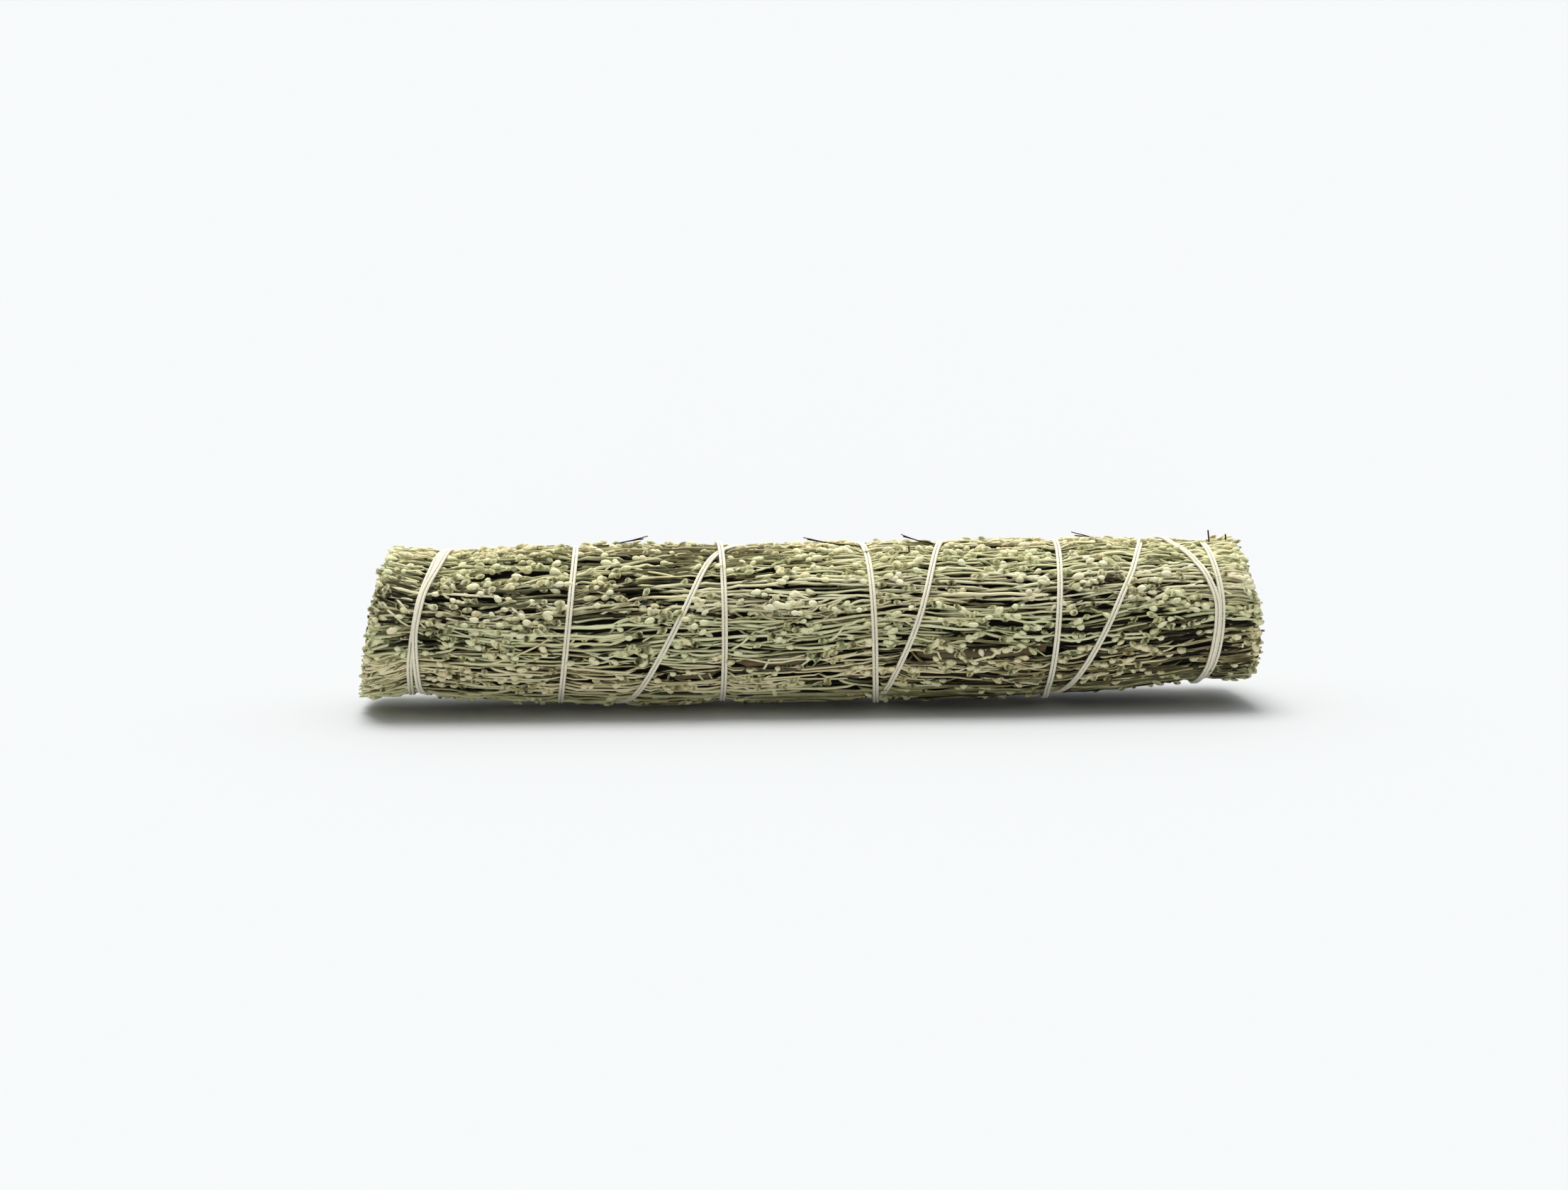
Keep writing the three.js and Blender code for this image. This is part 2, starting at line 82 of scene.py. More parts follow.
# Where the string is at each half turn round the bundle: half turns, x.
STRING_ROUTE = (
    (-0.4, -91.5), (0.0, -98.0), (0.25, -98.0), (0.55, -95.9), (0.8, -92.0),
    (1.0, -89.8), (1.35, -93.5), (2.0, -93.8), (2.2, -96.0), (2.42, -96.5),
    (2.6, -94.7), (2.77, -90.7), (3.0, -86.6), (4.0, -47.6), (4.3, -39.5),
    (4.6, -30.5), (4.8, -25.2), (5.0, -17.6), (6.0, 14.9), (6.27, 19.6),
    (6.56, 25.9), (6.9, 31.0), (7.0, 32.6), (8.0, 59.8), (8.26, 65.7),
    (8.56, 73.8), (8.72, 77.9), (9.0, 82.2), (10.0, 96.4), (10.5, 99.1),
    (10.8, 97.4), (11.0, 96.2), (12.0, 94.8), (12.25, 96.7), (12.5, 97.8),
    (12.7, 94.6), (13.0, 86.4), (14.0, 57.4), (15.0, 60.3), (16.0, 15.8),
    (17.0, 12.2), (18.0, -22.2), (18.5, -22.1), (19.0, -22.7), (20.0, -61.8),
    (21.0, -57.6), (21.5, -89.5),
)

# Thick woody stems that show between the twigs: x from, x to, angle, radius.
WOODY_STEMS = (
    (24.8, 56.0, -20.0, 1.5),
    (-35.2, -24.0, -31.0, 1.3),
    (-19.0, -1.0, -22.0, 1.0),
)

# Twigs that stray from the bundle: x of the root, angle, length, lift, direction.
STRAY_TWIGS = (
    (-54.0, 92.0, 14.0, 2.6, 1),
    (11.0, 88.0, 13.0, 2.2, -1),
    (30.0, 88.0, 8.0, 2.4, -1),
    (78.0, 104.0, 13.0, 2.2, -1),
)

# Dark stubs that stand up out of the top: x, angle, height.
UPRIGHT_STUBS = (
    (98.3, 86.0, 3.0),
    (102.4, 84.0, 2.0),
    (23.5, 70.0, 1.6),
)

# Pale stems that lie across the others: x from, angle from, x to, angle to.
CROSSING_STEMS = (
    (-80.0, -24.0, -63.0, 7.0),
    (-21.0, -10.0, -14.6, 6.0),
    (-15.0, 5.5, -9.0, 9.0),
    (3.4, -5.0, 6.8, 6.0),
    (6.4, 5.5, 12.0, 9.0),
    (17.0, 43.0, 28.6, 60.0),
    (18.0, 55.0, 22.0, 76.0),
    (-101.0, 30.0, -93.5, 8.0),
    (-104.0, 22.0, -94.0, 2.0),
)

# Broad leaves: x of the middle, angle, length, half width, slope across, teeth, direction.
BROAD_LEAVES = (
    (8.5, -17.0, 9.0, 1.3, 0.05, True, -1),
    (-16.0, 10.0, 9.0, 0.85, -0.08, False, 1),
    (-91.8, 15.0, 6.5, 0.9, -0.8, False, 1),
    (-60.0, 48.0, 7.0, 1.0, 0.5, False, 1),
    (38.0, 2.0, 8.0, 1.1, -0.1, True, 1),
)

# A loose pair of buds under the bundle: x, angle.
LOOSE_BUDS = (
    (12.2, -57.0),
    (13.8, -57.0),
)


class Part(Enum):
    """The kinds of surface on a sprig, in the order of its material slots."""

    STEM = 0
    BUD = 1
    LEAF = 2
    CUT = 3
    PACKED = 4


class Growth(Enum):
    """How budded a sprig is: its twigs, loose stems, leaves and the widest gap in its top layer."""

    BUDDED = (76, 24, 12, 10.0)
    MIXED = (56, 30, 12, 8.0)
    BARE = (18, 36, 12, 6.0)


class Tint(Enum):
    """The four tints of dry sage: the record's slot, and what the colours are multiplied by."""

    GREY_GREEN = ("sage_grey_green", (1.0, 1.0, 1.03))
    OLIVE = ("sage_olive", (0.98, 1.0, 0.94))
    TAN = ("sage_tan", (1.04, 1.0, 0.98))
    GREEN = ("sage_green", (0.96, 1.0, 0.95))

    def colours(self, plain: Sequence[Colour]) -> tuple[Colour, ...]:
        """Shifts colours towards this tint."""
        return tuple(tuple(c * s for c, s in zip(colour, self.value[1])) for colour in plain)


class SmoothCurve:
    """A curve through stations that never swings past them."""

    def __init__(self, stations: Sequence[Station]) -> None:
        """Works out the slope at each station.

        Args:
            stations: in rising order of position.
        """
        self.at = [station[0] for station in stations]
        self.value = [station[1] for station in stations]
        secants = [
            (self.value[i + 1] - self.value[i]) / (self.at[i + 1] - self.at[i])
            for i in range(len(stations) - 1)
        ]
        self.slope = [secants[0]]
        for before, after in zip(secants, secants[1:]):
            turning = before * after <= 0
            self.slope.append(0.0 if turning else 2 * before * after / (before + after))
        self.slope.append(secants[-1])

    def __call__(self, position: float) -> float:
        """Reads the curve.

        Args:
            position: where to read it; outside the stations it keeps its end values.

        Returns:
            The value there.
        """
        i = min(max(bisect_right(self.at, position) - 1, 0), len(self.at) - 2)
        span = self.at[i + 1] - self.at[i]
        t = min(max((position - self.at[i]) / span, 0.0), 1.0)
        t2 = t * t
        t3 = t2 * t
        return (
            self.value[i] * (2 * t3 - 3 * t2 + 1)
            + span * self.slope[i] * (t3 - 2 * t2 + t)
            + self.value[i + 1] * (3 * t2 - 2 * t3)
            + span * self.slope[i + 1] * (t3 - t2)
        )


def smoothstep(value: float, low: float, high: float) -> float:
    """Eases from 0 at the low value to 1 at the high one."""
    t = min(max((value - low) / (high - low), 0.0), 1.0)
    return t * t * (3 - 2 * t)


@dataclass(frozen=True)
class CutEnd:
    """An end of the bundle: its reach, its dome, the slant of the cut and how the stems fan out."""

    reach: float
    dome: float
    tilt: float
    tilt_toward: float
    tied: float
    fan: float

    @property
    def outward(self) -> int:
        """The side of the bundle that this end is on."""
        return 1 if self.reach > 0 else -1

    def at(self, angle: float, share: float) -> float:
        """Finds how far the stems reach.

        Args:
            angle: direction round the bundle, in degrees.
            share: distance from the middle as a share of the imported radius.

        Returns:
            The x of the cut there.
        """
        slant = self.tilt * math.cos(math.radians(angle - self.tilt_toward))
        return self.reach + self.outward * share * (slant - self.dome * share)


@dataclass(frozen=True)
class Bundle:
    """The shape that every piece is laid on."""

    length: float = 220.0
    coat: float = 1.9
    twist: float = 4.0
    twist_wave: float = 52.0
    core_reference: float = 18.0
    left: CutEnd = CutEnd(reach=-108.2, dome=2.6, tilt=4.0, tilt_toward=-60.0, tied=-97.0, fan=0.5)
    right: CutEnd = CutEnd(reach=108.2, dome=2.4, tilt=3.0, tilt_toward=-40.0, tied=98.5, fan=-0.35)
    fan_front: float = 10.0
    fan_ease: float = 4.0
    radius: SmoothCurve = SmoothCurve([(x, r) for x, r, _ in OUTLINE])
    height: SmoothCurve = SmoothCurve([(x, z) for x, _, z in OUTLINE])

    def core(self, x: float) -> float:
        """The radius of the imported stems."""
        return self.radius(x) - self.coat

    def sway(self, x: float) -> float:
        """How far the sprigs have turned round the bundle, in degrees."""
        return self.twist * math.sin(x / self.twist_wave)

    def fanned(self, x: float, angle: float) -> float:
        """Finds how far the stems have fanned out beyond the string at the ends.

        Args:
            x: position along the bundle.
            angle: direction round it, in degrees.

        Returns:
            The turn away from the front, in degrees.
        """
        end = self.left if x < 0 else self.right
        beyond = max(0.0, (x - end.tied) * end.outward)
        spread = end.fan * beyond * beyond / (beyond + self.fan_ease)
        return self.degrees(spread) * math.sin(math.radians(angle - self.fan_front))

    def point(self, x: float, angle: float, above: float) -> Vector:
        """Finds a point on the bundle.

        Args:
            x: position along the bundle.
            angle: direction round it, in degrees.
            above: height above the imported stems.

        Returns:
            The point, in millimetres.
        """
        turn = math.radians(angle)
        reach = self.core(x) + above
        return Vector((x, -reach * math.cos(turn), self.height(x) + reach * math.sin(turn)))

    def out(self, angle: float) -> Vector:
        """The direction away from the centre line at an angle."""
        turn = math.radians(angle)
        return Vector((0.0, -math.cos(turn), math.sin(turn)))

    def degrees(self, arc: float) -> float:
        """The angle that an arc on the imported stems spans."""
        return math.degrees(arc / self.core_reference)


@dataclass
class StringPath:
    """The route of the doubled string, out along the bundle and back."""

    bundle: Bundle
    strand_radius: float = 0.4
    float_above: float = 0.55
    start_angle: float = -80.0
    most_passes: int = 14
    layer: float = 1.0
    touching: float = 1.95
    crossing: float = 0.075
    crossing_ease: float = 0.09
    crossing_step: float = 0.0125
    under: float = 0.25
    dive: Range = (1.0, 3.6)
    x_at: SmoothCurve = SmoothCurve(STRING_ROUTE)
    first: float = STRING_ROUTE[0][0]
    last: float = STRING_ROUTE[-1][0]
    give: float = 0.75
    _passes: dict[int, list[tuple[float, float]]] = field(default_factory=dict)

    def angle(self, half_turns: float) -> float:
        """The angle round the bundle after a count of half turns."""
        return self.start_angle + 180.0 * half_turns

    def passes(self, angle: float) -> list[tuple[float, float]]:
        """Lists where the string passes.

        Args:
            angle: direction round the bundle, in degrees.

        Returns:
            The x of every pass there, and how far it is lifted.
        """
        key = round(angle) % 360
        if key not in self._passes:
            first_turn = ((key - self.start_angle) % 360) / 180 - 2
            turns = [first_turn + 2 * k for k in range(self.most_passes)]
            laid = [n for n in turns if self.first <= n <= self.last]
            self._passes[key] = [(self.x_at(n), self.lift(n)) for n in laid]
        return self._passes[key]

    def distance(self, x: float, angle: float) -> float:
        """How far a point on the bundle is from the nearest pass, along the bundle."""
        return min(abs(x - at) for at, _ in self.passes(angle))

    def headroom(self, x: float, angle: float, full: float) -> float:
        """Finds how high a stem may stand, so that it dives under the string.

        Args:
            x: position along the bundle.
            angle: direction round it, in degrees.
            full: the height that it may have well away from the string.

        Returns:
            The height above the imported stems.
        """
        nearest, lift = min(self.passes(angle), key=lambda laid: abs(x - laid[0]))
        under_string = min(self.under + self.give * lift, full)
        away = smoothstep(abs(x - nearest), *self.dive)
        return under_string + (full - under_string) * away

    def lift(self, half_turns: float) -> float:
        """Finds the lift of a pass that lies over an earlier one.

        Args:
            half_turns: position along the string.

        Returns:
            The lift above the first layer.
        """
        steps = round((self.crossing + self.crossing_ease) / self.crossing_step)
        lift = 0.0
        for step in range(-steps, steps + 1):
            shift = step * self.crossing_step
            n = half_turns + shift
            if not self.first <= n <= self.last:
                continue
            earlier = n - 2
            here = self.x_at(n)
            meets = False
            while earlier >= self.first and not meets:
                meets = abs(here - self.x_at(earlier)) < self.touching
                earlier -= 2
            if meets:
                away = min(1.0, max(0.0, abs(shift) - self.crossing) / self.crossing_ease)
                lift = max(lift, self.layer * (0.5 + 0.5 * math.cos(math.pi * away)))
        return lift

    def centre(self, half_turns: float, lift: float) -> Vector:
        """Finds a point midway between the two strands.

        Args:
            half_turns: position along the string.
            lift: height above the first layer there.

        Returns:
            The point, in millimetres.
        """
        above = self.float_above + self.strand_radius + lift
        return self.bundle.point(self.x_at(half_turns), self.angle(half_turns), above)


@dataclass(frozen=True)
class Template:
    """A small shape made once: its x and y go across, and its z runs from 0 to 1 in rings."""

    mesh: bpy.types.Mesh
    rings: int


def kept_mesh(bm: bmesh.types.BMesh, name: str) -> bpy.types.Mesh:
    """Turns a finished bmesh into a mesh and frees it.

    Args:
        bm: the finished shape.
        name: the mesh's name.

    Returns:
        The new mesh.
    """
    mesh = bpy.data.meshes.new(name)
    bm.to_mesh(mesh)
    bm.free()
    return mesh


def placed(name: str, data: bpy.types.ID) -> bpy.types.Object:
    """Makes an object and links it to the scene."""
    thing = bpy.data.objects.new(name, data)
    bpy.context.scene.collection.objects.link(thing)
    return thing


def stem_template(sides: int, rings: int) -> Template:
    """Makes a straight stem with cut ends.

    Args:
        sides: how many sides the stem has.
        rings: how many stretches it has along its length.

    Returns:
        The template.
    """
    bm = bmesh.new()
    bmesh.ops.create_cone(bm, cap_ends=True, segments=sides, radius1=1, radius2=1, depth=1)
    bmesh.ops.translate(bm, vec=(0, 0, 0.5), verts=bm.verts)
    lengthwise = [e for e in bm.edges if abs(e.verts[0].co.z - e.verts[1].co.z) > 0.5]
    if rings > 1:
        bmesh.ops.subdivide_edges(bm, edges=lengthwise, cuts=rings - 1, use_grid_fill=True)
    for face in bm.faces:
        cap = len(face.verts) == sides and len({round(v.co.z, 4) for v in face.verts}) == 1
        face.material_index = Part.CUT.value if cap else Part.STEM.value
        face.smooth = not cap
    return Template(kept_mesh(bm, "stem_template"), rings)


def bud_template(sides: int, slenderness: float, rib: float) -> Template:
    """Makes a flower bud, narrow where its stalk meets it and round at its tip.

    Args:
        sides: how many sides it has, with a bract on every other one.
        slenderness: its length as a multiple of its width.
        rib: how far the bracts stand out, as a share of its radius.

    Returns:
        The template, of radius 1, with its base at the origin.
    """
    neck, swelling, widest_at = 0.3, 0.72, 0.55
    upper_bracts_from = 0.6
    bm = bmesh.new()
    bmesh.ops.create_uvsphere(bm, u_segments=sides, v_segments=5, radius=1)
    for vertex in bm.verts:
        x, y, z = vertex.co
        up = (z + 1) / 2
        turn = math.atan2(y, x)
        full = neck + swelling * smoothstep(up, 0.0, widest_at)
        set_off = math.pi / 2 if up > upper_bracts_from else 0.0
        bract = 1 + rib * math.cos(turn * sides / 2 + set_off)
        vertex.co = (x * full * bract, y * full * bract, 2 * slenderness * up)
    for face in bm.faces:
        face.material_index = Part.BUD.value
        face.smooth = True
    return Template(kept_mesh(bm, "bud_template"), 1)


def leaf_template(rings: int, toothed: bool) -> Template:
    """Makes a leaf blade, 2 units across at its widest and 2 units thick.

    Args:
        rings: how many stretches it has along its length.
        toothed: whether its tip has three teeth.

    Returns:
        The template.
    """
    outline = (
        [(0, 0.16), (0.25, 0.3), (0.7, 0.72), (0.88, 1.0), (1, 0.9)]
        if toothed
        else [(0, 0.2), (0.2, 0.5), (0.5, 0.95), (0.75, 0.85), (0.95, 0.35), (1, 0.1)]
    )
    notch = 0.06
    columns = 4 if toothed else 2
    bm = bmesh.new()
    bmesh.ops.create_grid(bm, x_segments=columns, y_segments=rings, size=1)
    spread = SmoothCurve(outline)
    for vertex in bm.verts:
        x = vertex.co.x
        along = (vertex.co.y + 1) / 2
        between_teeth = toothed and along > 0.99 and abs(abs(x) - 0.5) < 0.1
        vertex.co = (x * spread(along), 0.0, along - (notch if between_teeth else 0.0))
    bm.normal_update()
    bmesh.ops.solidify(bm, geom=list(bm.faces), thickness=2)
    middle = sum(v.co.y for v in bm.verts) / len(bm.verts)
    bmesh.ops.translate(bm, vec=(0, -middle, 0), verts=bm.verts)
    for face in bm.faces:
        face.material_index = Part.LEAF.value
        face.smooth = True
    return Template(kept_mesh(bm, "leaf_template"), rings)


@dataclass
class Line:
    """A centre line on the bundle: its points and the outward direction at each."""

    points: list[Vector]
    outs: list[Vector]

    @property
    def length(self) -> float:
        """The length of the line."""
        return sum((b - a).length for a, b in zip(self.points, self.points[1:]))

    def tangent(self, i: int) -> Vector:
        """The direction of the line at one of its points."""
        last = len(self.points) - 1
        return (self.points[min(i + 1, last)] - self.points[max(i - 1, 0)]).normalized()

    def axes(self, i: int) -> tuple[Vector, Vector, Vector]:
        """The directions along, across and out from the line at one of its points."""
        along = self.tangent(i)
        across = along.cross(self.outs[i]).normalized()
        return along, across, across.cross(along)


class Thicket:
    """One mesh that many small plant parts are added to."""

    def __init__(self, seed: int = 0) -> None:
        """Starts an empty mesh with a tone and a warmth for each part.

        Args:
            seed: the start of its random draws.
        """
        self.bm = bmesh.new()
        # The tone holds each part's own paleness, with painted shade and painted light laid into it by
        # the sprigs and the string.
        self.tone_layer = self.bm.verts.layers.float.new("tone")
        self.warmth_layer = self.bm.verts.layers.float.new("warmth")
        self.dice = random.Random(seed)

    def copy_of(self, mesh: bpy.types.Mesh, tone: float) -> list[bmesh.types.BMVert]:
        """Adds a copy of a mesh, still in its own place.

        Args:
            mesh: the mesh that is copied.
            tone: where its colour lies between dark and light.

        Returns:
            The copy's vertices.
        """
        start = len(self.bm.verts)
        self.bm.from_mesh(mesh)
        self.bm.verts.ensure_lookup_table()
        added = self.bm.verts[start:]
        warmth = self.dice.random()
        for vertex in added:
            vertex[self.tone_layer] = tone
            vertex[self.warmth_layer] = warmth
        return added

    def sweep(
        self,
        template: Template,
        line: Line,
        half_width: Profile,
        half_depth: Profile,
        tone: float,
        roll: Profile = lambda t: 0.0,
    ) -> None:
        """Bends a copy of a template along a line.

        Args:
            template: the shape, with one ring for each point of the line after the first.
            line: the centre line.
            half_width: width to each side at a share of the length.
            half_depth: depth to each side at a share of the length.
            tone: where its colour lies between dark and light.
            roll: turn about the line at a share of the length, in radians.
        """
        rings = template.rings
        length = line.length
        frames = []
        for i in range(rings + 1):
            t = i / rings
            tangent, across, out = line.axes(i)
            turn = roll(t)
            wide = (across * math.cos(turn) + out * math.sin(turn)) * half_width(t)
            deep = (out * math.cos(turn) - across * math.sin(turn)) * half_depth(t)
            frames.append((line.points[i], wide, deep, tangent))
        for vertex in self.copy_of(template.mesh, tone):
            u, v, w = vertex.co
            i = min(max(round(w * rings), 0), rings)
            point, wide, deep, tangent = frames[i]
            vertex.co = point + wide * u + deep * v + tangent * ((w - i / rings) * length)

    def stand(
        self, template: Template, base: Vector, along: Vector, size: Vector, turn: float, tone: float
    ) -> None:
        """Stands a copy of a template on a point.

        Args:
            template: the shape, with its base at the origin.
            base: where its base goes.
            along: the direction that its z takes.
            size: its scale on each of its own axes.
            turn: how far it is turned about its own z, in radians.
            tone: where its colour lies between dark and light.
        """
        facing = along.to_track_quat("Z", "Y").to_matrix().to_4x4()
        place = Matrix.Translation(base) @ facing @ Matrix.Rotation(turn, 4, "Z")
        place = place @ Matrix.Diagonal((*size, 1.0))
        for vertex in self.copy_of(template.mesh, tone):
            vertex.co = place @ vertex.co

    def finish(self, name: str, floor: float = 0.0) -> bpy.types.Object:
        """Presses the mesh flat where it would sink into the surface, and makes the piece.

        Args:
            name: the piece's name.
            floor: height of the surface that the bundle lies on.

        Returns:
            The new object, in metres.
        """
        for vertex in self.bm.verts:
            vertex.co.z = max(vertex.co.z, floor)
        bmesh.ops.recalc_face_normals(self.bm, faces=self.bm.faces)
        bmesh.ops.scale(self.bm, vec=(MM, MM, MM), verts=self.bm.verts)
        return placed(name, kept_mesh(self.bm, name))


@dataclass
class Shapes:
    """The templates that the plant parts are copied from."""

    long_stem: Template = field(default_factory=lambda: stem_template(5, 24))
    stem: Template = field(default_factory=lambda: stem_template(5, 11))
    stalk: Template = field(default_factory=lambda: stem_template(4, 3))
    stub: Template = field(default_factory=lambda: stem_template(5, 4))
    buds: tuple[Template, ...] = field(
        default_factory=lambda: (
            bud_template(8, 1.5, 0.06),
            bud_template(8, 1.75, 0.1),
            bud_template(6, 1.35, 0.06),
        )
    )
    leaf: Template = field(default_factory=lambda: leaf_template(7, False))
    toothed_leaf: Template = field(default_factory=lambda: leaf_template(7, True))


class Shader:
    """Short ways to add and join shader nodes in one tree."""

    def __init__(self, tree: bpy.types.NodeTree) -> None:
        """Keeps the tree that nodes are added to."""
        self.tree = tree

    def node(self, kind: str, inputs: dict | None = None, **settings: object) -> bpy.types.Node:
        """Adds a node.

        Args:
            kind: the node's type name.
            inputs: a value or an output socket for each named or numbered input.
            settings: the node's own properties.

        Returns:
            The new node.
        """
        added = self.tree.nodes.new(kind)
        for key, value in settings.items():
            setattr(added, key, value)
        for key, value in (inputs or {}).items():
            if isinstance(value, bpy.types.NodeSocket):
                self.tree.links.new(value, added.inputs[key])
            else:
                added.inputs[key].default_value = value
        return added

    def maths(self, operation: str, *values: object) -> bpy.types.NodeSocket:
        """Adds a math node on numbers or sockets and returns its output."""
        return self.node("ShaderNodeMath", dict(enumerate(values)), operation=operation).outputs[0]

    def ramp(
        self, factor: bpy.types.NodeSocket, stops: Sequence[tuple[float, Colour]]
    ) -> bpy.types.NodeSocket:
        """Adds a colour ramp.

        Args:
            factor: where the ramp is read.
            stops: position and colour pairs.

        Returns:
            Its colour output.
        """
        added = self.node("ShaderNodeValToRGB", {0: factor})
        elements = added.color_ramp.elements
        while len(elements) < len(stops):
            elements.new(0.5)
        for element, (position, colour) in zip(elements, stops):
            element.position = position
            element.color = (*colour, 1.0)
        return added.outputs[0]


def fibre_group() -> bpy.types.NodeTree:
    """Builds the shared effect of dry plant fibre: streaks along the bundle, and mottling.

    Returns:
        The node group, with a Streak, a Mottle and a Height output.
    """
    group = bpy.data.node_groups.new("dry_fibre", "ShaderNodeTree")
    for name, kind, value in (
        ("Vector", "NodeSocketVector", (0, 0, 0)),
        ("Along", "NodeSocketFloat", 200.0),
        ("Across", "NodeSocketFloat", 1800.0),
        ("Patch", "NodeSocketFloat", 260.0),
    ):
        socket = group.interface.new_socket(name, in_out="INPUT", socket_type=kind)
        socket.default_value = value
    for name in ("Streak", "Mottle", "Height"):
        group.interface.new_socket(name, in_out="OUTPUT", socket_type="NodeSocketFloat")
    shader = Shader(group)
    given = shader.node("NodeGroupInput")
    stretch = shader.node(
        "ShaderNodeCombineXYZ",
        {0: given.outputs["Along"], 1: given.outputs["Across"], 2: given.outputs["Across"]},
    )
    drawn = shader.node(
        "ShaderNodeVectorMath",
        {0: given.outputs["Vector"], 1: stretch.outputs[0]},
        operation="MULTIPLY",
    )
    streak = shader.node(
        "ShaderNodeTexNoise", {"Vector": drawn.outputs[0], "Scale": 1.0, "Detail": 3.0}
    )
    patch = shader.node(
        "ShaderNodeTexNoise",
        {"Vector": given.outputs["Vector"], "Scale": given.outputs["Patch"], "Detail": 2.0},
    )
    height = shader.maths("ADD", streak.outputs[0], shader.maths("MULTIPLY", patch.outputs[0], 0.4))
    shader.node(
        "NodeGroupOutput",
        {"Streak": streak.outputs[0], "Mottle": patch.outputs[0], "Height": height},
    )
    return group


@dataclass(frozen=True)
class PlantFinish:
    """A dry surface whose colour runs from dark to pale with the tone of each part."""

    name: str
    colours: tuple[Colour, ...]
    roughness: float = 0.8
    roughness_change: float = 0.15
    specular: float = 0.15
    sheen: float = 0.05
    streak: float = 0.36
    mottle: float = 0.24
    along: float = 200.0
    across: float = 2600.0
    patch: float = 260.0
    relief: float = 0.00012
    scales: float = 0.0
    scale_shade: tuple[float, float] = (-0.3, 0.12)
    scale_height: float = 1.5
    cool: Colour = (0.96, 1.0, 0.94)
    warm: Colour | None = (1.0, 0.95, 0.86)
    stain: Colour | None = None
    stain_size: float = 75.0

    def build(self, fibre: bpy.types.NodeTree) -> bpy.types.Material:
        """Makes the material.

        Args:
            fibre: the shared dry fibre group.

        Returns:
            The new material.
        """
        material = bpy.data.materials.new(self.name)
        material.use_nodes = True
        tree = material.node_tree
        tree.nodes.clear()
        shader = Shader(tree)
        place = shader.node("ShaderNodeTexCoord").outputs["Object"]
        grain = shader.node("ShaderNodeGroup", node_tree=fibre)
        tree.links.new(place, grain.inputs["Vector"])
        for name, value in (("Along", self.along), ("Across", self.across), ("Patch", self.patch)):
            grain.inputs[name].default_value = value
        tone = shader.node("ShaderNodeAttribute", attribute_name="tone").outputs["Fac"]
        mottle = grain.outputs["Mottle"]
        shade = shader.maths("MULTIPLY_ADD", grain.outputs["Streak"], self.streak, -self.streak / 2)
        shade = shader.maths("ADD", shade, tone)
        shade = shader.maths("MULTIPLY_ADD", mottle, self.mottle, shade)
        shade = shader.maths("SUBTRACT", shade, self.mottle / 2)
        height = grain.outputs["Height"]
        if self.scales:
            cells = shader.node("ShaderNodeTexVoronoi", {"Vector": place, "Scale": self.scales})
            # Painted shade: darker towards the edges of each bract cell, in the crevices; the same
            # pattern also lowers the bump there.
            bract = shader.maths("MULTIPLY_ADD", cells.outputs["Distance"], *self.scale_shade)
            shade = shader.maths("ADD", shade, bract)
            height = shader.maths("MULTIPLY_ADD", bract, self.scale_height, height)
        bump = shader.node("ShaderNodeBump", {"Height": height, "Strength": 0.8, "Distance": self.relief})
        least = self.roughness - 0.07
        dull = shader.maths("MULTIPLY_ADD", mottle, self.roughness_change, least)
        surface = shader.node(
            "ShaderNodeBsdfPrincipled",
            {
                "Base Color": self.coloured(shader, shade, place),
                "Roughness": dull,
                "Normal": bump.outputs[0],
                "Specular IOR Level": self.specular,
                "Sheen Weight": self.sheen,
                "Sheen Roughness": 0.5,
            },
        )
        shader.node("ShaderNodeOutputMaterial", {"Surface": surface.outputs[0]})
        return material

    def coloured(
        self, shader: Shader, shade: bpy.types.NodeSocket, place: bpy.types.NodeSocket
    ) -> bpy.types.NodeSocket:
        """Adds the colour of the surface, with its warm or cool cast and its stain.

        Args:
            shader: the material's nodes.
            shade: where the colour lies between dark and pale.
            place: the place on the piece.

        Returns:
            The colour.
        """
        last = len(self.colours) - 1
        colour = shader.ramp(shade, [(0.1 + 0.8 * i / last, c) for i, c in enumerate(self.colours)])
        if self.warm:
            warmth = shader.node("ShaderNodeAttribute", attribute_name="warmth").outputs["Fac"]
            cast = shader.ramp(warmth, [(0.1, self.cool), (0.6, (1, 1, 1)), (0.95, self.warm)])
            tinting = shader.node(
                "ShaderNodeMix", {0: 1.0, 6: colour, 7: cast}, data_type="RGBA", blend_type="MULTIPLY"
            )
            colour = tinting.outputs[2]
        if self.stain:
            spread = shader.node(
                "ShaderNodeTexNoise", {"Vector": place, "Scale": self.stain_size, "Detail": 4.0}
            )
            stained = shader.ramp(spread.outputs[0], [(0.5, (0, 0, 0)), (0.6, (1, 1, 1))])
            mixed = shader.node(
                "ShaderNodeMix", {0: stained, 6: colour, 7: (*self.stain, 1)}, data_type="RGBA"
            )
            colour = mixed.outputs[2]
        return colour


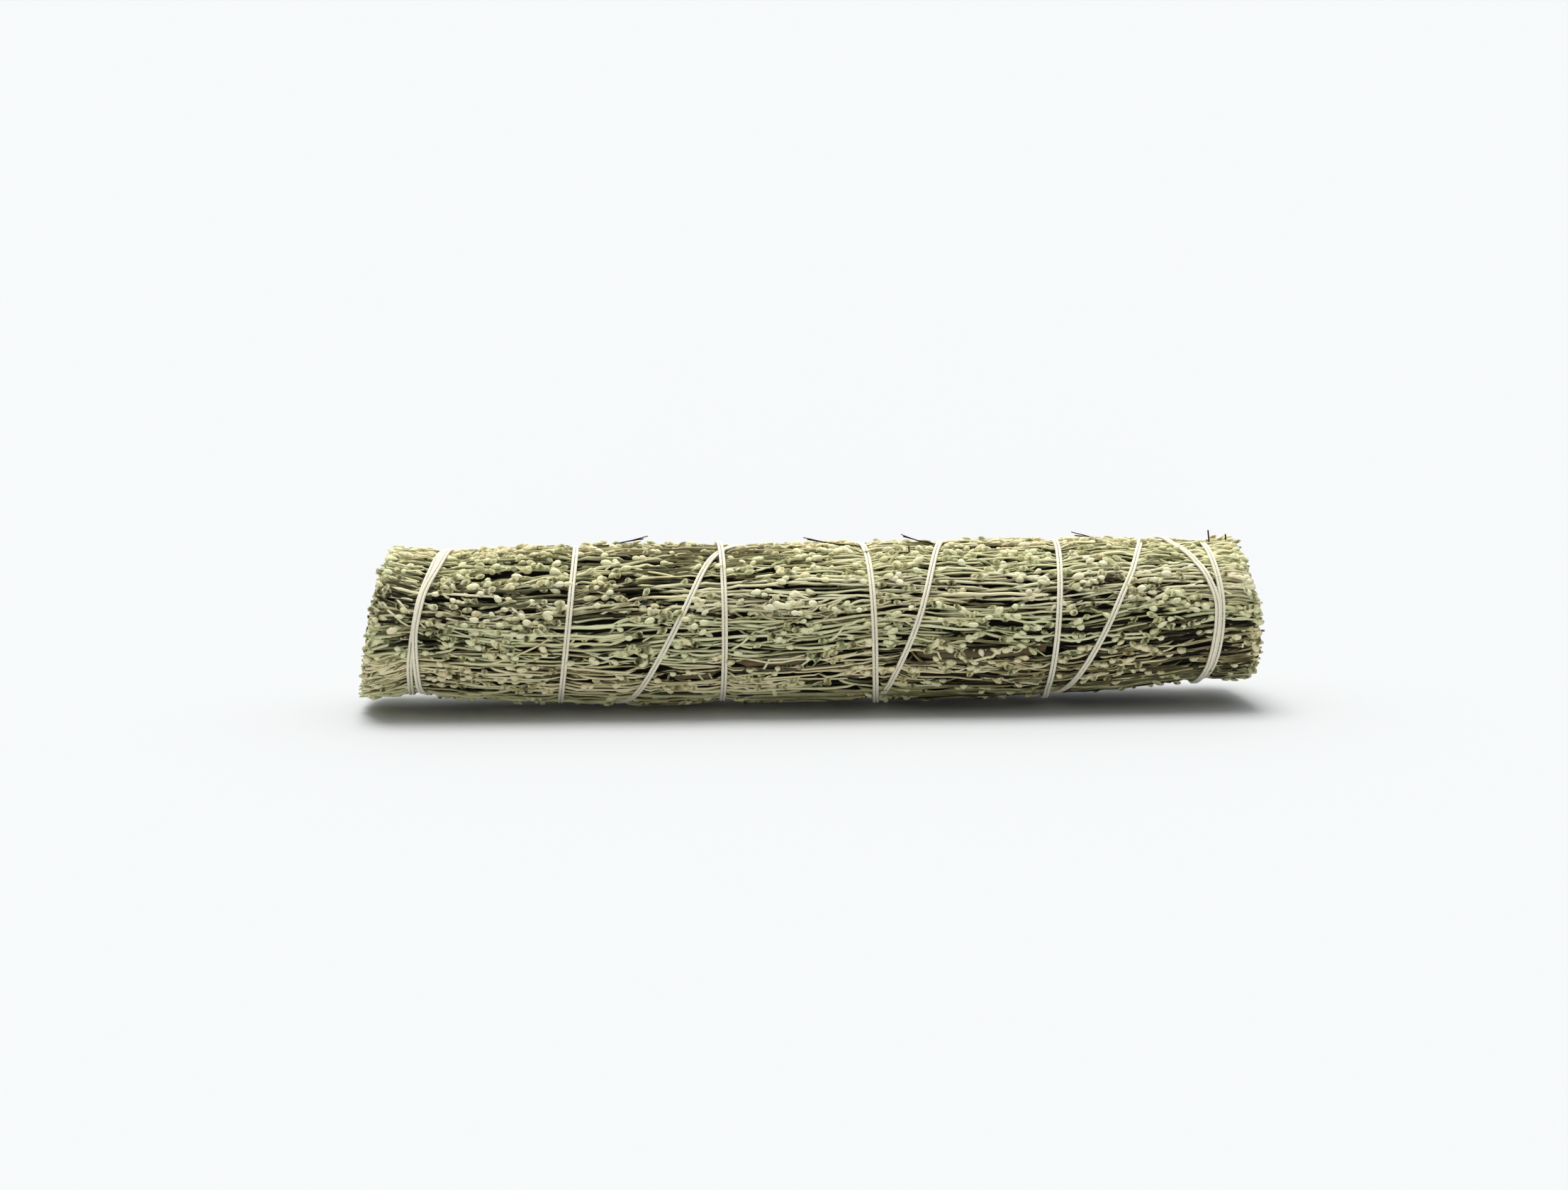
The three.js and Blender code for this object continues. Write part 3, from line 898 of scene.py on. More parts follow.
@dataclass
class Sprig:
    """A wedge of packed stems whose cut ends show at both ends of the bundle."""

    number: int
    bundle: Bundle
    string: StringPath
    shapes: Shapes
    prefix: str = "inner_sage_sprig"
    node: str = "inner_sprig"
    inner_radius: float = 3.3
    outer_radius: float = 9.0
    width: float = 60.0
    core_recess: float = 4.2
    core_depth: float = 0.6
    core_gap: float = 0.6
    core_tone: float = 0.3
    rim: float = 0.0
    cut_spacing: float = 0.86
    cut_ring: float = 0.82
    cut_turn: Range = (-1.2, 1.2)
    cut_shift: Range = (-0.35, 0.35)
    cut_radius: Range = (0.24, 0.46)
    cut_flat: float = 0.85
    cut_short: float = 0.6
    cut_uneven: float = 0.5
    cut_length: Range = (7.0, 14.0)
    cut_lean: Range = (1.5, 5.0)
    cut_tone: Range = (0.5, 1.2)
    # Painted shade in the tone: by depth among the stems, lifted near the cut ends, and on faces turned
    # away from the outside, less on the top.
    shade: float = 1.18
    shade_from: float = 0.6
    shade_range: float = 1.45
    bright_end: float = 0.3
    edge_shade: float = 0.95
    facing: Range = (-0.42, 0.95)
    sky_share: float = 0.38
    sky: Range = (0.5, 0.95)
    seed: int = 5200
    dice: random.Random = field(init=False)
    thicket: Thicket = field(init=False)

    def __post_init__(self) -> None:
        """Seeds this sprig's own draws."""
        self.dice = random.Random(self.seed + self.number)
        self.thicket = Thicket(self.seed - self.number)

    @property
    def middle(self) -> float:
        """The angle of the sprig's middle."""
        return -90.0 + (self.number - 1) * self.width

    def draw(self, span: Range) -> float:
        """Draws a value between a least and a greatest one."""
        return self.dice.uniform(*span)

    def packed_core(self) -> None:
        """Fills the sprig with a near-black body of packed stems, painted shade that shows only as depth
        between the stems.
        """
        bm = bmesh.new()
        bmesh.ops.create_cube(bm, size=1)
        for axis, count in ((0, 5), (2, 30)):
            edges = [e for e in bm.edges if abs(e.verts[0].co[axis] - e.verts[1].co[axis]) > 0.5]
            bmesh.ops.subdivide_edges(bm, edges=edges, cuts=count, use_grid_fill=True)
        for face in bm.faces:
            face.material_index = Part.PACKED.value
        body = kept_mesh(bm, "core_template")
        top = self.outer_radius - self.core_depth
        for vertex in self.thicket.copy_of(body, self.core_tone):
            u, v, w = vertex.co
            angle = self.middle + u * (self.width - self.core_gap)
            radius = self.inner_radius + (v + 0.5) * (top - self.inner_radius)
            share = radius / self.bundle.core_reference
            low = self.bundle.left.at(angle, share) + self.core_recess
            high = self.bundle.right.at(angle, share) - self.core_recess
            x = low + (w + 0.5) * (high - low)
            above = self.bundle.core(x) * (share - 1)
            vertex.co = self.bundle.point(x, angle + self.bundle.sway(x), above)
        bpy.data.meshes.remove(body)

    def cut_stems(self, end: CutEnd) -> None:
        """Fills one end with the cut ends of stems, ring by ring.

        Args:
            end: the end of the bundle.
        """
        radius = self.inner_radius + 0.5
        while radius < self.outer_radius + self.rim:
            arc = math.radians(self.width) * radius
            count = max(1, round(arc / self.cut_spacing))
            for i in range(count):
                angle = self.middle + ((i + 0.5) / count - 0.5) * self.width
                self.cut_stem(end, angle + self.draw(self.cut_turn), radius)
            radius += self.cut_ring

    def cut_stem(self, end: CutEnd, angle: float, radius: float) -> None:
        """Stands one cut stem in an end.

        Args:
            end: the end of the bundle.
            angle: direction round the bundle, in degrees.
            radius: distance from its middle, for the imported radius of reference.
        """
        share = (radius + self.draw(self.cut_shift)) / self.bundle.core_reference
        thick = self.draw(self.cut_radius)
        tip = end.at(angle, share) + end.outward * self.dice.gauss(-self.cut_short, self.cut_uneven)
        root = end.at(angle, share) - end.outward * self.draw(self.cut_length)
        least, most = self.cut_lean
        lean = self.dice.gauss(0, least + (most - least) * share)
        flare = self.dice.gauss(0, 0.35)
        phase = self.dice.uniform(0, 2 * math.pi)
        points = []
        outs = []
        for i in range(self.shapes.stub.rings + 1):
            t = i / self.shapes.stub.rings
            x = root + (tip - root) * t
            turned = angle + lean * t + self.bundle.sway(x) + 0.7 * math.sin(5 * t + phase)
            turned += share * self.bundle.fanned(x, turned)
            above = self.bundle.core(x) * (share - 1) + flare * t
            points.append(self.bundle.point(x, turned, above))
            outs.append(self.bundle.out(turned))
        flat = thick * self.cut_flat
        tone = self.draw(self.cut_tone)
        self.thicket.sweep(self.shapes.stub, Line(points, outs), lambda t: thick, lambda t: flat, tone)

    def shade_depths(self) -> None:
        """Paints shade into the tone: darker where a part lies deep among the stems, less so near the cut
        ends, and where it faces away from the outside, less so on the top.
        """
        tone = self.thicket.tone_layer
        bmesh.ops.recalc_face_normals(self.thicket.bm, faces=self.thicket.bm.faces)
        self.thicket.bm.normal_update()
        for vertex in self.thicket.bm.verts:
            x, y, z = vertex.co
            up = z - self.bundle.height(x)
            core = self.bundle.core(x)
            radius = math.hypot(y, up)
            angle = math.degrees(math.atan2(up, -y))
            share = radius / core
            below = core - radius + self.shade_from
            inside = min(x - self.bundle.left.at(angle, share), self.bundle.right.at(angle, share) - x)
            depth = min(below, inside - self.bright_end)
            outward = (vertex.normal.y * y + vertex.normal.z * up) / max(radius, 0.1)
            facing = max(outward, abs(vertex.normal.x))
            vertex[tone] -= self.shade * smoothstep(depth, 0.0, self.shade_range)
            skyward = smoothstep(up / max(radius, 0.1), *self.sky)
            edge = self.edge_shade * (1 - self.sky_share * skyward)
            vertex[tone] -= edge * (1 - smoothstep(facing, *self.facing))

    def build(self) -> bpy.types.Object:
        """Builds the whole sprig and returns the finished piece."""
        self.packed_core()
        for end in (self.bundle.left, self.bundle.right):
            self.cut_stems(end)
        self.shade_depths()
        return self.thicket.finish(f"{self.prefix}_{self.number:02d}")


@dataclass
class OuterSprig(Sprig):
    """A sprig in the outer ring, covered with the stems, twigs, buds and leaves that show.

    The long stems lie deepest, in layers of a depth and a range of tones. Bare stems lie end to end
    in lanes over them, and loose stems, leaves and twigs on top. Lengths and heights are in
    millimetres, and tones run from 0, dark, to 1, pale.
    """

    growth: Growth = Growth.BUDDED
    prefix: str = "sage_sprig"
    node: str = "sprig"
    inner_radius: float = 9.9
    outer_radius: float = 18.0
    width: float = 30.0
    core_depth: float = 2.6
    rim: float = 1.0
    seed: int = 4100
    foot_from: float = -60.0
    foot_to: float = 52.0
    foot_ease: float = 12.0
    foot_width: float = 13.0
    foot_bulge: float = 0.95
    foot_clear: Range = (2.0, 7.0)
    woody_margin: float = 0.35
    woody_ease: tuple[float, float] = (6.0, 0.5)
    over_woody: Range = (0.9, 1.4)
    proud: float = 0.1
    spring: float = 0.35
    drift: float = 8.0
    drift_grain: float = 0.025
    drift_round: float = 0.8
    even_steps: tuple[float, float] = (0.75488, 0.56984)
    uneven: float = 0.06
    joints: float = 0.1
    long_spacing: float = 1.0
    # Painted shade: the deeper layer gets the darker tones.
    long_layers: tuple[tuple[float, Range], ...] = ((-2.1, (0.0, 0.3)), (-1.1, (0.3, 0.8)))
    long_radius: Range = (0.3, 0.46)
    long_short: Range = (-0.1, 2.4)
    long_share: float = 0.97
    long_ceiling: float = 0.2
    lane_width: float = 1.12
    lane_ends: Range = (-0.6, 0.6)
    lower_lanes: float = 0.05
    upper_lanes: float = 1.05
    lower_gap: Range = (0.3, 3.0)
    least_upper_gap: float = 1.0
    stem_length: Range = (18.0, 40.0)
    shortest: float = 5.0
    stoutness: float = 1.0
    stem_radius: Range = (0.3, 0.48)
    stem_flat: Range = (0.6, 0.9)
    stem_tone: Range = (0.62, 1.06)
    end_dip: float = 1.3
    loose_length: Range = (7.0, 20.0)
    loose_height: Range = (0.6, 1.2)
    twig_length: Range = (10.0, 30.0)
    twig_margin: float = 2.5
    rightward: float = 0.55
    twig_height: Range = (0.2, 1.15)
    twig_radius: Range = (0.28, 0.44)
    twig_tone: Range = (0.55, 1.0)
    twig_root: float = -1.1
    stalk_from: Range = (0.3, 0.55)
    stalk_every: Range = (2.2, 5.0)
    stalk_length: Range = (1.2, 3.6)
    stalk_spread: Range = (0.4, 1.3)
    stalk_climb: Range = (-0.2, 0.7)
    stalk_radius: float = 0.3
    stalk_depth: float = 0.26
    second_bud: float = -1.2
    bud_width: Range = (0.72, 0.98)
    bud_flat: Range = (0.75, 1.0)
    bud_stretch: Range = (0.85, 1.15)
    bud_tilt: float = 0.28
    bud_tone: Range = (0.34, 0.64)
    palest_bud: float = 1.12
    bud_clear: float = 1.9
    toothed_share: float = 0.3
    leaf_length: Range = (4.0, 10.0)
    leaf_half_width: Range = (0.35, 0.7)
    toothed_length: Range = (6.0, 12.0)
    toothed_half_width: Range = (0.8, 1.25)
    leaf_height: Range = (0.0, 1.2)
    leaf_tone: Range = (0.35, 0.95)
    leaf_thickness: float = 0.18
    broad_tone: float = 0.9
    crossing_radius: float = 0.32
    crossing_height: float = 1.45
    crossing_tone: float = 0.95
    brush_count: int = 34
    brush_buds: float = 0.12
    brush_shares: tuple[float, ...] = (0.4, 0.58, 0.75)
    brush_length: Range = (8.0, 14.0)
    brush_height: Range = (-0.6, 1.4)
    brush_radius: Range = (0.34, 0.52)
    brush_tone: Range = (0.55, 0.95)
    stray_radius: float = 0.2
    stray_tone: float = 0.25
    fork_at: float = 0.62

    def owns(self, angle: float) -> bool:
        """Whether an angle lies in this sprig's part of the ring."""
        return -self.width / 2 <= (angle - self.middle + 180.0) % 360.0 - 180.0 < self.width / 2

    def foot(self, x: float, angle: float) -> float:
        """Finds how far the lowest stems hang down to the surface that they press on.

        Args:
            x: position along the bundle.
            angle: direction round it, in degrees.

        Returns:
            How far they hang below the rest.
        """
        from_below = (angle + 90.0 + 180.0) % 360.0 - 180.0
        strip = math.exp(-((from_below / self.foot_width) ** 2))
        begun = smoothstep(x, self.foot_from, self.foot_from + self.foot_ease)
        ended = smoothstep(x, self.foot_to - self.foot_ease, self.foot_to)
        clear = smoothstep(self.string.distance(x, angle), *self.foot_clear)
        return self.foot_bulge * strip * (begun - ended) * clear

    def beside_woody(self, x: float, angle: float) -> float:
        """Moves an angle aside where a thick woody stem lies.

        Args:
            x: position along the bundle.
            angle: direction round it, in degrees, before the sway.

        Returns:
            The angle of a stem that lies beside the woody one.
        """
        far, near = self.woody_ease
        for start, stop, middle, radius in WOODY_STEMS:
            room = smoothstep(x, start - far, start - near) * smoothstep(-x, -stop - far, -stop - near)
            half = self.bundle.degrees(radius + self.woody_margin) * room
            away = angle - middle
            if abs(away) < half:
                return middle + math.copysign(half, away)
        return angle

    def flow(self, x: float, angle: float) -> float:
        """Finds how far neighbouring stems drift sideways together.

        Args:
            x: position along the bundle.
            angle: direction round it, in degrees.

        Returns:
            The drift, in degrees.
        """
        turn = math.radians(angle)
        around = Vector((0.0, math.cos(turn), math.sin(turn))) * self.drift_round
        return self.drift * noise.noise(around + Vector((x * self.drift_grain, 0.0, 0.0)))

    def laid(self, x: float, angle: float) -> float:
        """The true angle of a spot, after the stems' drift, sway and fanning."""
        turned = angle + self.flow(x, angle) + self.bundle.sway(x)
        return turned + self.bundle.fanned(x, turned)

    def line(self, steps: int, where: Route, ceiling: float) -> Line:
        """Lays a centre line on the bundle, which dives under the string.

        Args:
            steps: how many stretches it has.
            where: its spot at a share of its length.
            ceiling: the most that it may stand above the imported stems.

        Returns:
            The line.
        """
        points = []
        outs = []
        for i in range(steps + 1):
            x, angle, above = where(i / steps)
            drifted = angle + self.flow(x, angle)
            aside = (self.beside_woody(x, drifted) - drifted) * (1 - smoothstep(above, *self.over_woody))
            turned = self.laid(x, angle) + aside
            above = min(above, self.string.headroom(x, turned, ceiling)) + self.foot(x, turned)
            points.append(self.bundle.point(x, turned, above))
            outs.append(self.bundle.out(turned))
        return Line(points, outs)

    def lay(
        self, shape: Template, where: Route, ceiling: float, thickness: Profile, flat: float, tone: float
    ) -> Line:
        """Lays a stem on the bundle.

        Args:
            shape: the template of the stem.
            where: its spot at a share of its length.
            ceiling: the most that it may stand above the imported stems.
            thickness: its radius at a share of its length.
            flat: its depth as a share of its width.
            tone: where its colour lies between dark and light.

        Returns:
            Its centre line.
        """
        line = self.line(shape.rings, where, ceiling)
        self.thicket.sweep(shape, line, thickness, lambda t: thickness(t) * flat, tone)
        return line

    def wave(self, size: float, cycles: float) -> Profile:
        """Draws a gentle wave that a stem follows.

        Args:
            size: how far it swings.
            cycles: how often it swings over the stem's length.

        Returns:
            The wave as a function of the share of the length.
        """
        phase = self.dice.uniform(0, 2 * math.pi)
        second = self.dice.uniform(0, 2 * math.pi)
        return lambda t: size * (
            math.sin(2 * math.pi * cycles * t + phase)
            + 0.5 * math.sin(4.6 * math.pi * cycles * t + second)
        )

    def sideways(self, arc: float, cycles: float) -> Profile:
        """Draws a wave round the bundle, from its size as an arc."""
        return self.wave(self.bundle.degrees(arc), cycles)

    def slant(self, slope: float, length: float) -> float:
        """Draws how far a stem goes round the bundle, in degrees, from its usual slope."""
        return self.bundle.degrees(self.dice.gauss(0, slope) * length)

    def knobby(self, radius: float, taper: float, rings: int) -> Profile:
        """Draws a stem's thickness, with a joint here and there.

        Args:
            radius: its radius at its thick end.
            taper: the share of the radius that it loses by its tip.
            rings: how many stretches the stem has.

        Returns:
            The radius as a function of the share of the length.
        """
        swelling = [1 + max(0.0, self.dice.gauss(-0.05, self.joints)) for _ in range(rings + 1)]
        return lambda t: radius * (1 - taper * t) * swelling[round(t * rings)]

    def room(self, angle: float, margin: float) -> Range:
        """The lowest and highest x that a twig may lie at, a margin inside the cut ends."""
        return self.bundle.left.at(angle, 1.0) + margin, self.bundle.right.at(angle, 1.0) - margin

    def even_spot(self, i: int, length: float, margin: float) -> tuple[float, float]:
        """Finds the middle of the i-th of many twigs, spread evenly over the sprig.

        Args:
            i: its number.
            length: its length.
            margin: how far it stays inside the cut ends.

        Returns:
            The x and the angle of its middle.
        """
        across, along = [(step * i + self.dice.uniform(0, self.uneven)) % 1 for step in self.even_steps]
        angle = self.middle + (across - 0.5) * self.width
        low, high = self.room(angle, margin + length / 2)
        return min(max(self.bundle.length * (along - 0.5), low), high), angle

    def long_stems(self) -> None:
        """Lays stems side by side from one cut end to the other."""
        arc = math.radians(self.width) * self.bundle.core_reference
        count = round(arc / self.long_spacing)
        shape = self.shapes.long_stem
        for layer, (depth, tones) in enumerate(self.long_layers):
            for i in range(count):
                angle = self.middle + ((i + 0.5 + 0.5 * layer) / count - 0.5) * self.width
                angle += self.dice.uniform(-1, 1)
                radius = self.draw(self.long_radius)
                start = self.bundle.left.at(angle, self.long_share) + self.draw(self.long_short)
                stop = self.bundle.right.at(angle, self.long_share) - self.draw(self.long_short)
                aside = self.wave(size=1.3, cycles=2.6)
                rise = self.wave(size=0.22, cycles=3.4)

                def where(t: float) -> Spot:
                    """The stem's spot at a share of its length."""
                    return start + (stop - start) * t, angle + aside(t), depth + rise(t)

                thickness = self.knobby(radius, 0.0, shape.rings)
                self.lay(shape, where, self.long_ceiling, thickness, 0.8, self.draw(tones))

    def bare_stem(self, start: float, length: float, angle: float, base: float, slope: float) -> None:
        """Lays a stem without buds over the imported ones.

        Args:
            start: the lower x of its ends.
            length: its length.
            angle: direction round the bundle, in degrees, of its middle.
            base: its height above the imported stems.
            slope: how far it goes round the bundle for each step along it.
        """
        slant = self.bundle.degrees(slope * length)
        aside = self.sideways(arc=0.2, cycles=length / 24)
        rise = self.wave(size=0.1, cycles=length / 18)
        shape = self.shapes.stem
        thickness = self.knobby(self.draw(self.stem_radius) * self.stoutness, 0.25, shape.rings)
        flat = self.draw(self.stem_flat)

        def where(t: float) -> Spot:
            """The stem's spot at a share of its length; both its ends dip."""
            ends = smoothstep(t, 0.0, 0.14) * smoothstep(1 - t, 0.0, 0.1)
            above = base - self.end_dip * (1 - ends) + rise(t)
            return start + length * t, angle + slant * (t - 0.5) + aside(t), above

        # Painted light: a stem that lies higher is paler.
        tone = self.draw(self.stem_tone) + 0.1 * base
        self.lay(shape, where, self.bundle.coat - 0.2, thickness, flat, tone)

    def lane_stems(self, base: float, gap: Range, shift: float) -> None:
        """Fills lanes side by side with stems laid end to end.

        Args:
            base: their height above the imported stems.
            gap: the least and the greatest gap between one stem and the next in a lane.
            shift: how far the lanes are moved sideways, as a share of a lane.
        """
        arc = math.radians(self.width) * self.bundle.core_reference
        count = round(arc / (self.lane_width * self.stoutness))
        for i in range(count):
            angle = self.middle + ((i + shift) / count - 0.5) * self.width + self.dice.gauss(0, 0.35)
            low, high = self.room(angle, self.draw(self.lane_ends))
            start = low - self.dice.uniform(0, 20)
            while start < high - self.shortest:
                length = self.draw(self.stem_length)
                first = max(start, low)
                shown = min(start + length, high) - first
                height = base + self.dice.gauss(0, 0.12)
                if shown > self.shortest:
                    self.bare_stem(first, shown, angle, height, self.dice.gauss(0, 0.035))
                start += length + self.draw(gap)

    def loose_stem(self, i: int) -> None:
        """Lays the i-th loose stem, slanting over the others.

        Args:
            i: its number.
        """
        length = self.draw(self.loose_length)
        middle, angle = self.even_spot(i, length, 0.4)
        height = self.draw(self.loose_height)
        self.bare_stem(middle - length / 2, length, angle, height, self.dice.gauss(0, 0.16))

    def bud(self, base: Vector, along: Vector, x: float, angle: float, tone: float) -> None:
        """Stands a bud on the end of a stalk, unless the string is in its way.

        Args:
            base: where the stalk ends.
            along: the direction of the stalk.
            x: position along the bundle.
            angle: direction round it, in degrees.
            tone: the tone of its twig.
        """
        if self.string.distance(x, angle) < self.bud_clear:
            return
        width = self.draw(self.bud_width)
        size = Vector((width, width * self.draw(self.bud_flat), width * self.draw(self.bud_stretch)))
        tilt = Vector([self.dice.gauss(0, self.bud_tilt) for _ in range(3)])
        shape = self.dice.choice(self.shapes.buds)
        light = min(self.palest_bud, tone * 0.55 + self.draw(self.bud_tone))
        turn = self.dice.uniform(0, 2 * math.pi)
        self.thicket.stand(shape, base, (along + tilt).normalized(), size, turn, light)

    def twig(self, i: int) -> None:
        """Lays the i-th twig, whose side stalks and tip carry buds.

        Args:
            i: its number.
        """
        length = self.draw(self.twig_length)
        direction = 1 if self.dice.random() < self.rightward else -1
        centre, angle = self.even_spot(i, length, self.twig_margin)
        start = centre - direction * length / 2
        slant = self.slant(0.13, length)
        base = self.draw(self.twig_height)
        aside = self.sideways(arc=0.35, cycles=1.2)
        rise = self.wave(size=0.16, cycles=1.5)
        shape = self.shapes.stem
        thickness = self.knobby(self.draw(self.twig_radius), 0.35, shape.rings)
        # Painted light: a twig that lies higher is paler.
        tone = self.draw(self.twig_tone) + 0.12 * base

        def where(t: float) -> Spot:
            """The twig's spot at a share of its length; it climbs from its root."""
            above = self.twig_root + (base - self.twig_root) * smoothstep(t, 0.0, 0.2) + rise(t)
            return start + direction * length * t, angle + slant * t + aside(t), above

        ceiling = self.bundle.coat - 0.7
        line = self.lay(shape, where, ceiling, thickness, 0.9, tone)
        tip_x, tip_angle, _ = where(1.0)
        self.bud(line.points[-1], line.tangent(shape.rings), tip_x, self.laid(tip_x, tip_angle), tone)
        side = self.dice.choice((-1, 1))
        share = self.draw(self.stalk_from)
        while share < 0.98:
            self.side_stalk(where, share, direction, side, ceiling, tone)
            side = -side if self.dice.random() < 0.8 else side
            share += self.draw(self.stalk_every) / length

    def side_stalk(
        self, where: Route, share: float, direction: int, side: int, ceiling: float, tone: float
    ) -> None:
        """Grows a short side stalk with a bud or two out of a twig.

        Args:
            where: the twig's own spot at a share of its length.
            share: where along the twig it grows.
            direction: which way the twig points.
            side: which side of the twig it is on.
            ceiling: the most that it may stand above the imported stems.
            tone: the tone of the twig.
        """
        x0, angle0, above0 = where(share)
        low, high = self.room(angle0, 2.0)
        left = high - x0 if direction > 0 else x0 - low
        reach = min(self.draw(self.stalk_length), max(left, 0.3))
        spread = side * self.bundle.degrees(self.draw(self.stalk_spread))
        climb = self.draw(self.stalk_climb)

        def along_stalk(t: float) -> Spot:
            """The stalk's spot at a share of its length."""
            bow = math.sin(t * math.pi / 2)
            return x0 + direction * reach * t, angle0 + spread * bow, above0 + climb * t

        shape = self.shapes.stalk
        line = self.line(shape.rings, along_stalk, ceiling)
        self.thicket.sweep(shape, line, lambda t: self.stalk_radius, lambda t: self.stalk_depth, tone)
        x, angle, _ = along_stalk(1.0)
        for i in range(self.dice.choice((1, 1, 2))):
            back = line.tangent(shape.rings) * (self.second_bud * i)
            self.bud(line.points[-1] + back, line.tangent(shape.rings), x, self.laid(x, angle), tone)

    def leaf(self, i: int) -> None:
        """Lays the i-th narrow leaf among the twigs, some with three teeth at the tip.

        Args:
            i: its number.
        """
        toothed = self.dice.random() < self.toothed_share
        length = self.draw(self.toothed_length if toothed else self.leaf_length)
        half = self.draw(self.toothed_half_width if toothed else self.leaf_half_width)
        middle, angle = self.even_spot(i, length, 1.0)
        slope = self.dice.gauss(0, 0.22)
        base = self.draw(self.leaf_height)
        direction = self.dice.choice((-1, 1))
        tone = self.draw(self.leaf_tone)
        self.blade(middle, angle, length, half, slope, toothed, direction, base, tone)

    def blade(
        self,
        middle: float,
        angle: float,
        length: float,
        half: float,
        slope: float,
        toothed: bool,
        direction: int,
        base: float,
        tone: float,
    ) -> None:
        """Lays one leaf blade.

        Args:
            middle: x of its middle.
            angle: direction round the bundle, in degrees, of its middle.
            length: its length.
            half: half its width.
            slope: how far it goes round the bundle for each step along it.
            toothed: whether its tip has three teeth.
            direction: which way its tip points along the bundle.
            base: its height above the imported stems.
            tone: where its colour lies between dark and light.
        """
        slant = self.bundle.degrees(slope * length)
        bend = self.slant(0.06, length)
        curl = self.dice.gauss(0, 0.45)
        lean = self.dice.gauss(0, 0.4)
        shape = self.shapes.toothed_leaf if toothed else self.shapes.leaf
        half_depth = self.leaf_thickness / 2

        def where(t: float) -> Spot:
            """The blade's spot at a share of its length; it climbs from its root."""
            above = -0.5 + (base + 0.5) * smoothstep(t, 0.0, 0.5)
            x = middle + direction * length * (t - 0.5)
            return x, angle + slant * direction * (t - 0.5) + bend * t * t, above

        def roll(t: float) -> float:
            """The blade's turn about its own line."""
            return lean + curl * t

        line = self.line(shape.rings, where, self.bundle.coat - 0.5)
        self.thicket.sweep(shape, line, lambda t: half, lambda t: half_depth, tone, roll)

    def crossing_stem(self, x0: float, angle0: float, x1: float, angle1: float) -> None:
        """Lays a pale thin stem across the others.

        Args:
            x0: where it starts.
            angle0: direction round the bundle there, in degrees.
            x1: where it ends.
            angle1: direction round the bundle there.
        """
        aside = self.sideways(arc=0.12, cycles=1.2)

        def where(t: float) -> Spot:
            """The stem's spot at a share of its length; both its ends dip."""
            ends = smoothstep(t, 0.0, 0.15) * smoothstep(1 - t, 0.0, 0.15)
            above = self.crossing_height - 1.2 * (1 - ends)
            return x0 + (x1 - x0) * t, angle0 + (angle1 - angle0) * t + aside(t), above

        shape = self.shapes.stem
        thickness = self.knobby(self.crossing_radius, 0.3, shape.rings)
        self.lay(shape, where, self.bundle.coat - 0.3, thickness, 1.0, self.crossing_tone)

    def brush(self, end: CutEnd) -> None:
        """Fans short twigs out from under the string to one cut end.

        Args:
            end: the end of the bundle.
        """
        shape = self.shapes.stem
        ceiling = self.bundle.coat - 0.4
        for i in range(self.brush_count):
            angle = self.middle + (self.even_steps[0] * i % 1 - 0.5) * self.width
            length = self.draw(self.brush_length)
            slant = self.slant(0.09, length)
            rise = self.draw(self.brush_height)
            tip = end.at(angle, 1.0) + end.outward * min(self.dice.gauss(-0.5, 0.8), 1.2)
            aside = self.sideways(arc=0.15, cycles=0.7)

            def where(t: float) -> Spot:
                """The twig's spot at a share of its length; it climbs from its root."""
                above = -1.0 + (rise + 1.0) * smoothstep(t, 0.0, 0.6)
                return tip - end.outward * length * (1 - t), angle + slant * (t - 0.7) + aside(t), above

            # Painted light: a twig that rises higher is paler.
            tone = self.draw(self.brush_tone) + 0.1 * rise
            thickness = self.knobby(self.draw(self.brush_radius), 0.2, shape.rings)
            self.lay(shape, where, ceiling, thickness, 0.8, tone)
            for share in self.brush_shares:
                if self.dice.random() < self.brush_buds:
                    side = self.dice.choice((-1, 1))
                    self.side_stalk(where, share, end.outward, side, ceiling - 0.3, tone)

    def press_in(self) -> None:
        """Presses in what stands proud of the bundle's outline."""
        for vertex in self.thicket.bm.verts:
            x, y, z = vertex.co
            middle = self.bundle.height(x)
            radius = math.hypot(y, z - middle)
            limit = self.bundle.radius(x) + self.proud
            if radius > limit:
                scale = (limit + (radius - limit) * self.spring) / radius
                vertex.co = (x, y * scale, middle + (z - middle) * scale)

    def stray(self, start: float, angle: float, length: float, lift: float, direction: int) -> None:
        """Lays a bare dark twig whose tip strays out of the bundle, with one fork.

        Args:
            start: x of its root.
            angle: direction round the bundle, in degrees.
            length: its length.
            lift: how far its tip strays.
            direction: which way it points along the bundle.
        """
        root = self.bundle.coat - 0.9
        ceiling = self.bundle.coat + lift
        aside = self.sideways(arc=0.25, cycles=1.0)

        def where(t: float) -> Spot:
            """The twig's spot at a share of its length."""
            return start + direction * length * t, angle + aside(t), root + lift * t**1.5

        def fork(t: float) -> Spot:
            """The fork's spot at a share of its length."""
            x, turned, above = where(self.fork_at)
            reach = 0.3 * length
            return x + direction * reach * t, turned + self.bundle.degrees(1.2 * t), above + 0.5 * t

        shape = self.shapes.stem
        thickness = self.knobby(self.stray_radius, 0.4, shape.rings)
        self.lay(shape, where, ceiling, thickness, 1.0, self.stray_tone)
        slim = 0.8 * self.stray_radius
        self.lay(self.shapes.stalk, fork, ceiling, lambda t: slim, 1.0, self.stray_tone)

